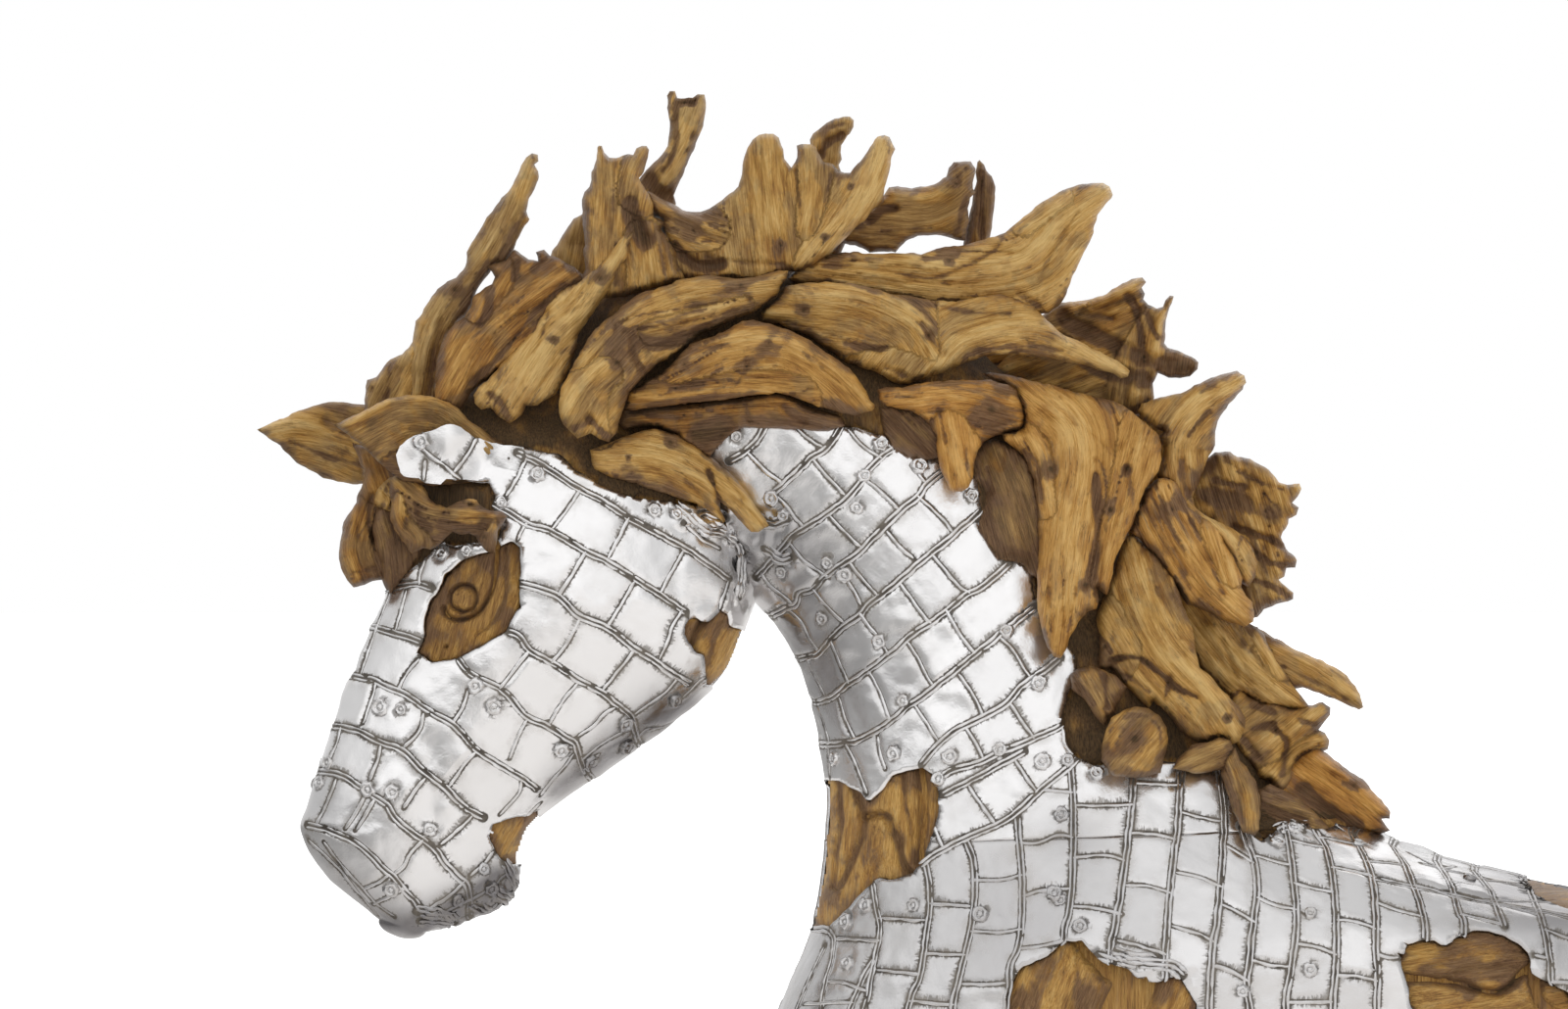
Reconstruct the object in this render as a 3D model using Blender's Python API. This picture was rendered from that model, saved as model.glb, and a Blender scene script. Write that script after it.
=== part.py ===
"""A horse bust in teak: a carved body under a skin of welded metal plates, with a mane of
root wood. It faces -X with its left side towards -Y, +Z is up, and sizes are in metres.
It stands on the flat cut under its chest and barrel, and the origin is on that cut."""

import math

import bmesh
import bpy
from mathutils import Matrix, Vector
from mathutils.bvhtree import BVHTree

# Driving sizes
HEAD_LENGTH = 0.53        # poll to muzzle; every form below is a share of it
PLATE_THICKNESS = 0.0045  # the metal skin
SKIN_CLEARANCE = 0.0005   # between the skin and the wood under it
RIM_HEIGHT = 0.003        # the skin's lower rim stays this far off the floor
SEAT_CLEARANCE = 0.0006   # between a mane root and what it is fitted against
SINK_SHARE = 0.3          # of a root's thickness, how far at least its middle lies off the wood
HEAD_TURN = math.radians(9)  # the head looks a little to its left

# The forms are drawn on a grid of 530 steps to the head's length. A place is (x, z) in steps
# from the origin, a width is measured across the form, and y runs from the left side, negative,
# to the right side.
GRID = HEAD_LENGTH / 530
TURN_AXIS = Vector((-530 * GRID, 0, 0))  # the head turns about this upright line at the throat

BODY_SIDES = 18
HEAD_SIDES = 16
ROOT_SIDES = 6
PRONG_SIDES = 4

TEAK = ("teak", (0.36, 0.21, 0.09, 1.0), 0.62, 0.0)
ROOT_WOOD = ("root_wood", (0.46, 0.30, 0.13, 1.0), 0.66, 0.0)
BURNISHED_METAL = ("burnished_metal", (0.82, 0.82, 0.83, 1.0), 0.34, 1.0)

# Each station: front (x, z), back (x, z), half width, and the power of the back: over 2 is
# full, under 2 is a ridge. From the flat cut up to the poll.
BODY_STATIONS = (
    (-478, 0, 505, 0, 214, 2.2),
    (-466, 58, 514, 112, 222, 2.2),
    (-447, 112, 470, 190, 222, 2.2),
    (-426, 162, 352, 216, 208, 2.2),
    (-415, 212, 232, 244, 190, 2.2),
    (-409, 262, 140, 282, 170, 2.1),
    (-408, 312, 55, 350, 150, 2.0),
    (-415, 360, -12, 444, 134, 1.9),
    (-424, 410, -72, 540, 122, 1.8),
    (-445, 460, -136, 646, 114, 1.7),
    (-474, 500, -216, 742, 106, 1.7),
    (-500, 530, -330, 826, 100, 1.6),
    (-520, 558, -480, 852, 94, 1.6),
    (-560, 585, -612, 838, 82, 1.6),
    (-600, 600, -700, 776, 60, 1.8),
)

# Each station: nose side (x, z), jaw side (x, z), half width. From the poll down to the muzzle.
HEAD_STATIONS = (
    (-745, 742, -540, 672, 52),
    (-800, 708, -492, 590, 86),
    (-832, 650, -480, 528, 100),
    (-838, 592, -494, 470, 108),
    (-850, 538, -516, 426, 107),
    (-874, 482, -572, 378, 97),
    (-898, 422, -642, 328, 85),
    (-919, 364, -703, 285, 74),
    (-938, 304, -721, 252, 67),
    (-944, 272, -722, 222, 62),
    (-918, 228, -745, 194, 54),
    (-864, 184, -818, 171, 34),
)

# Openings in the skin where the wood shows: outline (x, z), then how far it reaches across.
OPENINGS = {
    "eye": ([(-739, 563), (-717, 564), (-715, 501), (-731, 475), (-786, 446), (-821, 458),
             (-814, 499), (-792, 535)], -300, 0),
    "brow": ([(-846, 634), (-749, 629), (-747, 606), (-735, 590), (-787, 556), (-846, 556)],
             -300, 300),
    "cheek": ([(-550, 483), (-531, 485), (-512, 496), (-490, 487), (-515, 432), (-531, 422),
               (-533, 454)], -300, -10),
    "chin": ([(-747, 270), (-736, 282), (-704, 292), (-714, 240), (-728, 242)], -300, -2),
    "chest": ([(-420, 329), (-382, 323), (-364, 305), (-345, 331), (-303, 336), (-294, 318),
               (-305, 264), (-318, 233), (-353, 227), (-385, 199), (-424, 177), (-440, 244)],
              -300, -4),
    "shoulder": ([(-224, 131), (-172, 169), (-141, 161), (-100, 135), (-57, 139), (-33, 102),
                  (-59, 59), (-137, 45), (-206, 78)], -300, 0),
    "barrel": ([(165, 151), (173, 166), (220, 176), (273, 174), (297, 135), (344, 115),
                (351, 74), (273, 53), (185, 69)], -300, 0),
    "back": ([(303, 229), (313, 213), (355, 193), (424, 179), (464, 193), (454, 262),
              (315, 264)], -70, 60),
    "right_eye": ([(-742, 560), (-718, 500), (-790, 446), (-824, 458), (-796, 534)], 0, 300),
    "right_flank": ([(-60, 150), (40, 158), (96, 110), (50, 60), (-50, 66), (-90, 110)], 0, 300),
}

# The lower edge of the mane, where the skin stops, from the brow back to the withers.
MANE_EDGE = (
    (-896, 640), (-838, 667), (-782, 687), (-733, 665), (-688, 652), (-638, 634), (-589, 618),
    (-539, 604), (-515, 632), (-529, 655), (-495, 689), (-440, 687), (-385, 683), (-339, 663),
    (-270, 628), (-252, 606), (-258, 586), (-234, 550), (-202, 535), (-193, 489), (-161, 452),
    (-167, 408), (-175, 384), (-153, 349), (-99, 347), (-8, 343), (1, 309), (26, 267),
    (45, 275), (79, 287), (114, 271), (162, 275), (170, 422),
)

# Roots of the mane. Each has limbs of (x, z, width), then the least y at its foot and its tip,
# how far it lies off the wood over the roots beneath, its thickness and its twist in degrees.
# The first limb is the trunk of the root; the rest grow out of it. They are fitted in this
# order, each one against those before it.
MANE_ROOTS = {
    "crest_oval_root": ([[(-228, 656, 40), (-220, 605, 62), (-204, 546, 34)]], -20, -20, 0, 34, 0),
    "crest_wedge_root": ([[(-345, 704, 24), (-312, 676, 42), (-280, 648, 22)]], -20, -20, 0, 30, 0),
    "under_plate_root": ([[(-622, 688, 34), (-540, 704, 52), (-450, 708, 48), (-366, 692, 26)]],
                         -20, -20, 0, 36, 8),
    "inner_splint_root": ([[(-152, 436, 28), (-126, 402, 44), (-106, 368, 26)]],
                          -20, -20, 0, 40, 0),
    "inner_log_root": ([[(-118, 372, 60), (-84, 373, 66), (-52, 371, 58)]], -20, -20, 8, 60, 0),
    "flat_back_root": ([[(-694, 800, 60), (-670, 852, 50), (-648, 886, 24)]], 16, 6, 0, 44, 10),
    "ear_block_root": ([[(-822, 650, 56), (-852, 698, 52), (-846, 730, 50), (-824, 764, 26)]],
                       4, -20, 0, 56, -8),
    "antler_root": ([[(-614, 838, 50), (-594, 885, 54), (-570, 938, 38), (-556, 980, 34), (-549, 1012, 38)],
                     [(-557, 1000, 16), (-562, 1016, 12), (-565, 1028, 8)],
                     [(-542, 1000, 16), (-536, 1014, 13), (-533, 1023, 9)]], 44, 26, 0, 34, 10),
    "knob_root": ([[(-424, 890, 50), (-416, 940, 40), (-400, 976, 36), (-386, 997, 18)]],
                  30, 12, 0, 34, 0),
    "crossbar_root": ([[(-440, 846, 50), (-400, 880, 58), (-350, 896, 56), (-305, 906, 54), (-273, 914, 78),
                        (-256, 915, 90)]], 20, -10, 0, 56, 0),
    "dark_splinter_root": ([[(-262, 848, 30), (-244, 912, 32), (-249, 955, 16)]],
                           28, 24, 0, 28, 12),
    "burr_root": ([[(-256, 752, 50), (-200, 768, 60), (-130, 790, 72), (-92, 783, 66), (-62, 758, 38),
                    (-28, 744, 14)],
                   [(-130, 800, 44), (-100, 820, 28), (-84, 834, 12)],
                   [(-84, 792, 34), (-62, 802, 18), (-52, 818, 8)]], 12, -6, 0, 66, -14),
    "bark_burr_root": ([[(-112, 596, 80), (-50, 604, 100), (14, 602, 114), (46, 606, 84), (72, 614, 34)],
                        [(20, 570, 54), (52, 552, 32), (72, 543, 12)],
                        [(8, 548, 50), (48, 522, 28), (70, 512, 10)]], 10, -4, 0, 84, 0),
    "withers_log_root": ([[(50, 340, 50), (96, 322, 50), (134, 298, 48), (158, 282, 32),
                           (168, 274, 14)]], -20, -36, 0, 56, 0),
    "withers_under_root": ([[(34, 316, 34), (84, 298, 40), (142, 274, 20)]], -30, -30, 4, 34, 0),
    "tail_prong_root": ([[(16, 456, 40), (75, 440, 40), (115, 421, 32), (144, 400, 10)]],
                        -16, -26, 0, 36, 8),
    "horned_block_root": ([[(-602, 800, 92), (-618, 875, 76), (-624, 930, 64), (-618, 950, 50)],
                           [(-640, 930, 26), (-639, 956, 16), (-637, 970, 7)],
                           [(-608, 925, 40), (-597, 952, 22), (-590, 969, 8)]],
                          -24, -34, 4, 56, -8),
    "spike_front_root": ([[(-812, 680, 44), (-803, 775, 48), (-763, 838, 44), (-730, 892, 35),
                           (-713, 932, 18), (-705, 958, 9)]], -24, -50, 0, 40, 16),
    "notched_root": ([[(-782, 700, 46), (-755, 760, 60), (-720, 812, 56), (-690, 852, 38)],
                      [(-726, 830, 24), (-725, 848, 15), (-724, 862, 7)]], -40, -52, 6, 46, -12),
    "long_blade_root": ([[(-412, 842, 44), (-330, 835, 60), (-250, 838, 80), (-191, 858, 86),
                          (-150, 890, 62), (-120, 927, 18)]], -30, -46, 0, 52, -14),
    "broad_plate_root": ([[(-465, 805, 36), (-400, 790, 78), (-330, 775, 96), (-265, 794, 76),
                           (-200, 798, 62), (-140, 775, 40), (-84, 741, 18)]],
                         -46, -52, 12, 48, -12),
    "low_plate_root": ([[(-612, 713, 16), (-550, 730, 54), (-490, 745, 74), (-430, 745, 78),
                         (-380, 728, 54), (-357, 712, 20)]], -50, -50, 24, 40, 10),
    "upswept_root": ([[(-84, 520, 56), (-54, 620, 76), (-42, 670, 74), (-16, 706, 44),
                       (14, 735, 15)]], -26, -30, 4, 48, 12),
    "long_back_root": ([[(-45, 505, 44), (0, 465, 66), (45, 430, 58), (86, 397, 16)]],
                       -26, -34, 10, 42, -10),
    "gnarled_end_root": ([[(-6, 424, 62), (40, 386, 92), (78, 366, 72), (98, 356, 44)],
                          [(48, 372, 60), (57, 332, 42), (57, 308, 14)],
                          [(78, 386, 34), (97, 396, 20), (104, 395, 10)]], -26, -30, 12, 56, 8),
    "three_pronged_root": ([[(-560, 842, 66), (-490, 868, 108), (-430, 888, 100), (-384, 918, 64),
                             (-358, 950, 40), (-346, 978, 18)],
                            [(-486, 886, 80), (-475, 930, 52), (-471, 960, 44), (-467, 981, 24)],
                            [(-430, 900, 66), (-423, 935, 42), (-418, 962, 20)]],
                           -40, -30, 6, 50, 10),
    "bright_root": ([[(-750, 700, 46), (-712, 744, 58), (-680, 795, 50), (-645, 840, 38),
                      (-611, 868, 16)]], -60, -60, 18, 40, 14),
    "bent_root": ([[(-652, 682, 50), (-643, 725, 66), (-610, 770, 72), (-560, 802, 64),
                    (-505, 820, 54), (-447, 838, 34)]], -80, -74, 34, 52, -14),
    "forked_lock_root": ([[(-642, 654, 34), (-590, 656, 56), (-545, 642, 56), (-505, 612, 38),
                           (-471, 582, 12)],
                          [(-552, 634, 32), (-526, 610, 20), (-509, 590, 7)]],
                         -40, -40, 6, 34, 10),
    "hooked_root": ([[(-357, 722, 18), (-310, 709, 48), (-260, 703, 60), (-213, 702, 48)],
                     [(-265, 690, 54), (-268, 650, 34), (-266, 618, 14)]], -60, -60, 26, 38, -8),
    "leaf_root": ([[(-82, 570, 44), (-90, 520, 80), (-75, 470, 94), (-45, 420, 80),
                    (-10, 385, 58), (8, 367, 20)]], -60, -60, 26, 44, -10),
    "wedge_root": ([[(-48, 338, 18), (-14, 352, 42), (8, 356, 26)]], -60, -60, 14, 36, 0),
    "low_prong_root": ([[(4, 342, 34), (18, 308, 38), (29, 268, 14)]], -60, -60, 12, 34, 0),
    "shoulder_plate_root": ([[(-66, 622, 54), (-38, 575, 82), (-7, 528, 68), (21, 488, 22)]],
                            -70, -76, 34, 40, 10),
    "hanging_blade_root": ([[(-196, 722, 56), (-150, 682, 142), (-138, 622, 126), (-152, 560, 90),
                             (-165, 500, 54), (-170, 455, 12)],
                            [(-130, 556, 52), (-134, 516, 28), (-140, 492, 8)],
                            [(-184, 688, 52), (-208, 670, 34), (-222, 660, 14)]],
                           -60, -60, 30, 46, 8),
}

# Roots on the right side that repeat a left one, with a shift of (x, z).
RIGHT_ROOTS = {
    "bright_root": (-2, -5), "broad_plate_root": (8, -14), "low_plate_root": (-8, -4),
    "bent_root": (12, -10), "hanging_blade_root": (8, -6), "leaf_root": (6, 6),
    "upswept_root": (-8, -10), "long_back_root": (-10, 0),
}

FORELOCK = {
    "forelock_lump": ([[(-856, 660, 44), (-872, 610, 44), (-884, 560, 46), (-878, 526, 36)]],
                      -30, -52, 0, 46, 0),
    "forelock_chunk": ([[(-838, 622, 50), (-812, 588, 56), (-795, 560, 28)]], -60, -60, 0, 44, 0),
    "forelock_tongue": ([[(-848, 640, 40), (-846, 585, 46), (-850, 540, 32), (-853, 516, 10)]],
                        -60, -70, 6, 34, 12),
    "forelock_root": ([[(-848, 618, 34), (-815, 612, 46), (-780, 598, 34), (-738, 590, 30)],
                       [(-752, 596, 32), (-744, 574, 24), (-744, 558, 9)]], -80, -80, 22, 36, 10),
}

EARS = {
    "left_ear": ([[(-748, 674, 36), (-790, 696, 56), (-842, 696, 68), (-880, 682, 42),
                   (-902, 687, 8)],
                  [(-856, 682, 44), (-850, 656, 32), (-848, 636, 12)]], -84, -112, 4, 30, 18),
    "right_ear": ([[(-806, 650, 60), (-845, 664, 76), (-880, 667, 92), (-918, 670, 86), (-955, 677, 56),
                    (-990, 680, 8)]], 30, 44, 0, 30, -12),
}


def clear_scene():
    for item in list(bpy.data.objects):
        bpy.data.objects.remove(item)


def material_of(finish):
    name, colour, roughness, metallic = finish
    made = bpy.data.materials.get(name) or bpy.data.materials.new(name)
    made.use_nodes = True
    shader = made.node_tree.nodes["Principled BSDF"]
    shader.inputs["Base Color"].default_value = colour
    shader.inputs["Roughness"].default_value = roughness
    shader.inputs["Metallic"].default_value = metallic
    return made


def object_from(shape, name, finish):
    """The bmesh as a named object with its finish."""
    bmesh.ops.recalc_face_normals(shape, faces=shape.faces)
    mesh = bpy.data.meshes.new(name)
    shape.to_mesh(mesh)
    shape.free()
    mesh.materials.append(material_of(finish))
    made = bpy.data.objects.new(name, mesh)
    bpy.context.scene.collection.objects.link(made)
    return made


def combine(target, other, operation, solver="EXACT"):
    """Joins other to target, or cuts it away, and keeps the result as target's own mesh."""
    step = target.modifiers.new("fit", "BOOLEAN")
    step.object = other
    step.operation = operation
    step.solver = solver
    bpy.context.view_layer.update()
    graph = bpy.context.evaluated_depsgraph_get()
    result = bpy.data.meshes.new_from_object(target.evaluated_get(graph))
    target.modifiers.clear()
    old = target.data
    target.data = result
    bpy.data.meshes.remove(old)


def discard(item):
    mesh = item.data
    bpy.data.objects.remove(item)
    bpy.data.meshes.remove(mesh)


def keep_largest_body(item):
    """A cut can leave a chip beside the piece; only the largest body stays."""
    shape = bmesh.new()
    shape.from_mesh(item.data)
    bmesh.ops.remove_doubles(shape, verts=shape.verts, dist=0.000001)
    unseen = set(shape.verts)
    bodies = []
    while unseen:
        front = [unseen.pop()]
        body = set(front)
        while front:
            for edge in front.pop().link_edges:
                for vert in edge.verts:
                    if vert in unseen:
                        unseen.remove(vert)
                        body.add(vert)
                        front.append(vert)
        bodies.append(body)
    largest = max(bodies, key=len)
    spare = [vert for vert in shape.verts if vert not in largest]
    bmesh.ops.delete(shape, geom=spare, context="VERTS")
    shape.to_mesh(item.data)
    shape.free()


def loft(rings, name, finish):
    """A closed solid through rings of points that all have the same count."""
    shape = bmesh.new()
    rows = [[shape.verts.new(point) for point in ring] for ring in rings]
    count = len(rows[0])
    for low, high in zip(rows, rows[1:]):
        for i in range(count):
            j = (i + 1) % count
            shape.faces.new((low[i], low[j], high[j]))
            shape.faces.new((low[i], high[j], high[i]))
    caps = [shape.faces.new(rows[0]), shape.faces.new(rows[-1])]
    bmesh.ops.triangulate(shape, faces=caps)
    return object_from(shape, name, finish)


def bowed(value, power):
    return math.copysign(abs(value) ** (2 / power), value)


def oval_ring(front, back, half_width, sides, inset, front_power, back_power):
    """An oval from front to back across the body, drawn in by inset all round. A low front
    power gives a narrow, ridged front."""
    front, back = Vector((front[0], 0, front[1])), Vector((back[0], 0, back[1]))
    middle, reach = (front + back) / 2, (back - front) / 2
    shrunk = reach * ((reach.length - inset) / reach.length)
    points = []
    for i in range(sides):
        turn = 2 * math.pi * i / sides
        along = -math.cos(turn)
        power = front_power if along < 0 else back_power
        side = bowed(math.sin(turn), power)
        points.append(middle + shrunk * bowed(along, power) + Vector((0, (half_width - inset) * side, 0)))
    return points


def draw_in(rings, end, inner, inset):
    """Moves an end ring towards its neighbour, so that the form's end is drawn in too."""
    centres = [sum(rings[i], Vector()) / len(rings[i]) for i in (end, inner)]
    step = (centres[1] - centres[0]).normalized() * inset
    rings[end] = [point + step for point in rings[end]]


def body_form(inset, sink, name, finish):
    """The neck, chest and barrel, drawn in by inset. Its flat cut lies sink under the floor."""
    rings = []
    for *places, power in BODY_STATIONS:
        fx, fz, bx, bz, half = [value * GRID for value in places]
        rings.append(oval_ring((fx, fz), (bx, bz), half, BODY_SIDES, inset, 2.0, power))
    draw_in(rings, -1, -2, inset)
    if sink:
        rings.insert(0, [point - Vector((0, 0, sink)) for point in rings[0]])
    return loft(rings, name, finish)


def turned(point):
    return TURN_AXIS + Matrix.Rotation(HEAD_TURN, 3, "Z") @ (point - TURN_AXIS)


def head_form(inset, name, finish):
    """The head, drawn in by inset, turned about the throat."""
    rings = []
    for station in HEAD_STATIONS:
        fx, fz, bx, bz, half = [value * GRID for value in station]
        ring = oval_ring((fx, fz), (bx, bz), half, HEAD_SIDES, inset, 1.75, 2.5)
        rings.append([turned(point) for point in ring])
    draw_in(rings, 0, 1, inset)
    draw_in(rings, -1, -2, inset)
    return loft(rings, name, finish)


def horse_form(inset, sink, name, finish):
    body = body_form(inset, sink, name, finish)
    head = head_form(inset, name + "_head", finish)
    combine(body, head, "UNION")
    discard(head)
    return body


def prism(outline, low_y, high_y, name):
    """An outline in (x, z), carried across the body from low_y to high_y."""
    rings = []
    for y in (low_y, high_y):
        rings.append([Vector((x * GRID, y * GRID, z * GRID)) for x, z in outline])
    made = loft(rings, name, TEAK)
    made.hide_render = True
    made.display_type = "WIRE"
    return made


def teak_body():
    return horse_form(PLATE_THICKNESS + SKIN_CLEARANCE, 0, "teak_body", TEAK)


def above_mane(back):
    """The space above the mane's lower edge, which is drawn back that far."""
    outline = [Vector(point) for point in MANE_EDGE + ((180, 1300), (-1000, 1300))]
    moved = []
    for i, point in enumerate(outline):
        before = (point - outline[i - 1]).normalized()
        after = (outline[(i + 1) % len(outline)] - point).normalized()
        normal = Vector((-before.y, before.x)) + Vector((-after.y, after.x))
        normal.normalize()
        moved.append(point + normal * min(back / max(normal.dot(Vector((-after.y, after.x))), 0.3),
                                          2.5 * back) / GRID)
    return prism([tuple(point) for point in moved], -400, 400, "mane_cut")


def metal_skin():
    """The plates as one welded skin over the wood, open below, at the openings and under
    the mane."""
    skin = horse_form(0, 0, "metal_skin", BURNISHED_METAL)
    hollow = horse_form(PLATE_THICKNESS, 10 * PLATE_THICKNESS, "hollow", TEAK)
    combine(skin, hollow, "DIFFERENCE")
    discard(hollow)
    rim = RIM_HEIGHT / GRID
    cuts = [above_mane(0), prism([(-700, -50), (700, -50), (700, rim), (-700, rim)], -400, 400,
                                 "rim_cut")]
    for name, (outline, low_y, high_y) in OPENINGS.items():
        cuts.append(prism(outline, low_y, high_y, name + "_cut"))
    for cut in cuts:
        combine(skin, cut, "DIFFERENCE", "MANIFOLD")
        discard(cut)
    keep_largest_body(skin)
    return skin


def body_seats():
    """What a root is cut by where it lies on the wood or on the skin."""
    wood = horse_form(PLATE_THICKNESS + SKIN_CLEARANCE - SEAT_CLEARANCE, 0, "wood_seat", TEAK)
    skin = horse_form(-SEAT_CLEARANCE, 0, "skin_seat", TEAK)
    cut = above_mane(2 * SEAT_CLEARANCE)
    combine(skin, cut, "DIFFERENCE")
    discard(cut)
    return [wood, skin]


def eased(values, share):
    """A smooth curve through values, read at share of the way along it."""
    spans = len(values) - 1
    at = min(share * spans, spans - 1e-9)
    i = int(at)
    t = at - i
    a, b = values[max(i - 1, 0)], values[i]
    c, d = values[i + 1], values[min(i + 2, spans)]
    return 0.5 * (2 * b + (c - a) * t + (2 * a - 5 * b + 4 * c - d) * t * t
                  + (3 * b - a - 3 * c + d) * t ** 3)


def reach_clear_of(wood, centre, depth, layer):
    """How far out the centre has to be, so that most of the section lies off the wood."""
    side = -1 if centre.y < 0 else 1
    hit = wood.ray_cast(Vector((centre.x, side, centre.z)), Vector((0, -side, 0)))[0]
    clear = side * hit.y + SINK_SHARE * depth + layer * GRID if hit else 0
    return max(side * centre.y, clear)


def sections_along(points, foot_y, tip_y, layer, thickness, rings_wanted, wood):
    """Centre, direction, width and depth of each section of a limb."""
    centres = [Vector((x, 0, z)) * GRID for x, z, width in points]
    widths = [width * GRID for x, z, width in points]
    found = []
    for k in range(rings_wanted):
        share = k / (rings_wanted - 1)
        centre = eased(centres, share)
        centre.y = (foot_y + (tip_y - foot_y) * share) * GRID
        ahead = eased(centres, min(share + 0.01, 1.0)) - eased(centres, max(share - 0.01, 0.0))
        width = max(eased(widths, share), 4 * GRID)
        depth = thickness * GRID * min(1.0, 0.3 + 0.8 * width / max(widths))
        found.append((centre, ahead.normalized(), width, min(depth, width * 1.3)))
    reaches = [reach_clear_of(wood, centre, depth, layer)
               for centre, ahead, width, depth in found]
    for smoothing in range(3):
        for k in range(1, rings_wanted - 1):
            reaches[k] = max(reaches[k], (reaches[k - 1] + reaches[k + 1]) / 2)
    for (centre, *rest), reach in zip(found, reaches):
        centre.y = math.copysign(reach, centre.y)
    return found


def limb(points, foot_y, tip_y, layer, thickness, twist, trunk, swell, wood, name):
    """One limb of a root: flattened sections, wide in the side view, along a smooth line. Swell
    moves every face out, to make the seat that a neighbour is cut by."""
    sides = ROOT_SIDES if trunk else PRONG_SIDES
    rings_wanted = len(points) + (1 if trunk else 0)
    sections = sections_along(points, foot_y, tip_y, layer, thickness, rings_wanted, wood)
    rings = []
    for k, (centre, ahead, width, depth) in enumerate(sections):
        if k in (0, rings_wanted - 1):
            centre += ahead * (swell if k else -swell)
        grown = swell / math.cos(math.pi / sides)
        lean = math.radians(twist) * (2 * k / (rings_wanted - 1) - 1)
        turn = Matrix.Rotation(lean, 3, ahead)
        across = turn @ ahead.cross(Vector((0, 1, 0))) * (width / 2 + grown)
        out = turn @ Vector((0, 1, 0)) * (depth / 2 + grown)
        ring = []
        for i in range(sides):
            angle = 2 * math.pi * i / sides
            ring.append(centre + across * math.cos(angle) + out * math.sin(angle))
        rings.append(ring)
    return loft(rings, name, ROOT_WOOD)


def limbs_of(spec, swell, wood):
    """The trunk of a root and its prongs, as separate solids."""
    name, limbs, foot_y, tip_y, layer, thickness, twist = spec
    made = [limb(limbs[0], foot_y, tip_y, layer, thickness, twist, True, swell, wood, name)]
    for points in limbs[1:]:
        middle = (foot_y + tip_y) / 2
        made.append(limb(points, middle, tip_y, layer, thickness * 0.72, 0, False, swell, wood,
                         name + "_prong"))
    return made


def root(spec, wood):
    """A root with its prongs grown into one solid."""
    made, *prongs = limbs_of(spec, 0, wood)
    for prong in prongs:
        combine(made, prong, "UNION")
        discard(prong)
    return made


def seats_of(spec, wood):
    """What a later root is cut by, to sit against this one."""
    made = limbs_of(spec, SEAT_CLEARANCE, wood)
    for seat in made:
        seat.hide_render = True
        seat.display_type = "WIRE"
    return made


def shifted(limbs, shift):
    return [[(x + shift[0], z + shift[1], width) for x, z, width in points] for points in limbs]


def all_roots():
    """Every ear, forelock and mane root in the order in which they are fitted."""
    listed = [(name, *spec) for name, spec in {**EARS, **MANE_ROOTS, **FORELOCK}.items()]
    for name, shift in RIGHT_ROOTS.items():
        limbs, foot_y, tip_y, layer, thickness, twist = MANE_ROOTS[name]
        listed.append((name + "_right", shifted(limbs, shift), -0.6 * foot_y, -0.6 * tip_y,
                       max(layer - 24, 0), thickness, -twist))
    return listed


def boxes_meet(a, b):
    for axis in range(3):
        a_values = [vert.co[axis] for vert in a.data.vertices]
        b_values = [vert.co[axis] for vert in b.data.vertices]
        if max(a_values) < min(b_values) or max(b_values) < min(a_values):
            return False
    return True


def fit_against(piece, seats):
    """Cuts the piece wherever it would run into what is there before it."""
    for seat in seats:
        if boxes_meet(piece, seat):
            combine(piece, seat, "DIFFERENCE")
    keep_largest_body(piece)


def shade(item):
    item.data.shade_smooth()
    item.data.set_sharp_from_angle(angle=math.radians(35))


def main():
    clear_scene()
    teak = teak_body()
    fitted = [teak, metal_skin()]
    corners = [vert.co for vert in teak.data.vertices]
    wood = BVHTree.FromPolygons(corners, [tuple(face.vertices) for face in teak.data.polygons])
    seats = body_seats()
    for spec in all_roots():
        piece = root(spec, wood)
        fit_against(piece, seats)
        fitted.append(piece)
        seats.extend(seats_of(spec, wood))
    for seat in seats:
        discard(seat)
    for item in fitted:
        shade(item)


main()
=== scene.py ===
import math

import bmesh
import bpy
import numpy as np
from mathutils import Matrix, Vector
from mathutils.bvhtree import BVHTree
from mathutils.geometry import delaunay_2d_cdt
from mathutils.kdtree import KDTree


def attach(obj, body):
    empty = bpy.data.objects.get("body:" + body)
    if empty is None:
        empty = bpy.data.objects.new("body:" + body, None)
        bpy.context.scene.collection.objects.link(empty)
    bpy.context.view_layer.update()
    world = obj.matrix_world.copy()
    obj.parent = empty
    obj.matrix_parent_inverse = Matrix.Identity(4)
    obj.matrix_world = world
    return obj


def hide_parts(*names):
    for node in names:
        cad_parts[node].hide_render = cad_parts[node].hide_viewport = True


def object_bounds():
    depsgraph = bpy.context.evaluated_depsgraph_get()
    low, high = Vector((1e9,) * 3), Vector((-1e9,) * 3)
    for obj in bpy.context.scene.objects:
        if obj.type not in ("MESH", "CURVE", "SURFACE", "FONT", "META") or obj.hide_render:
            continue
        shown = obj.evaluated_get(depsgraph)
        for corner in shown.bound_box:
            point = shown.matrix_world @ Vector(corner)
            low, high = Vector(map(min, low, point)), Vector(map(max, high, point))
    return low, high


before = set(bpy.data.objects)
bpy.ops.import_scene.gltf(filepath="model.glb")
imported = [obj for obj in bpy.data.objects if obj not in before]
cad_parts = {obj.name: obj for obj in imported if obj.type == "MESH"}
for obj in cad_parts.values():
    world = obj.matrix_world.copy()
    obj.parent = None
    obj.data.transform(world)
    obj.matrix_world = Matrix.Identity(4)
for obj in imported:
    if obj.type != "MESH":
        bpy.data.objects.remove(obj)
cadBox = [list(corner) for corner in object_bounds()]

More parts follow.
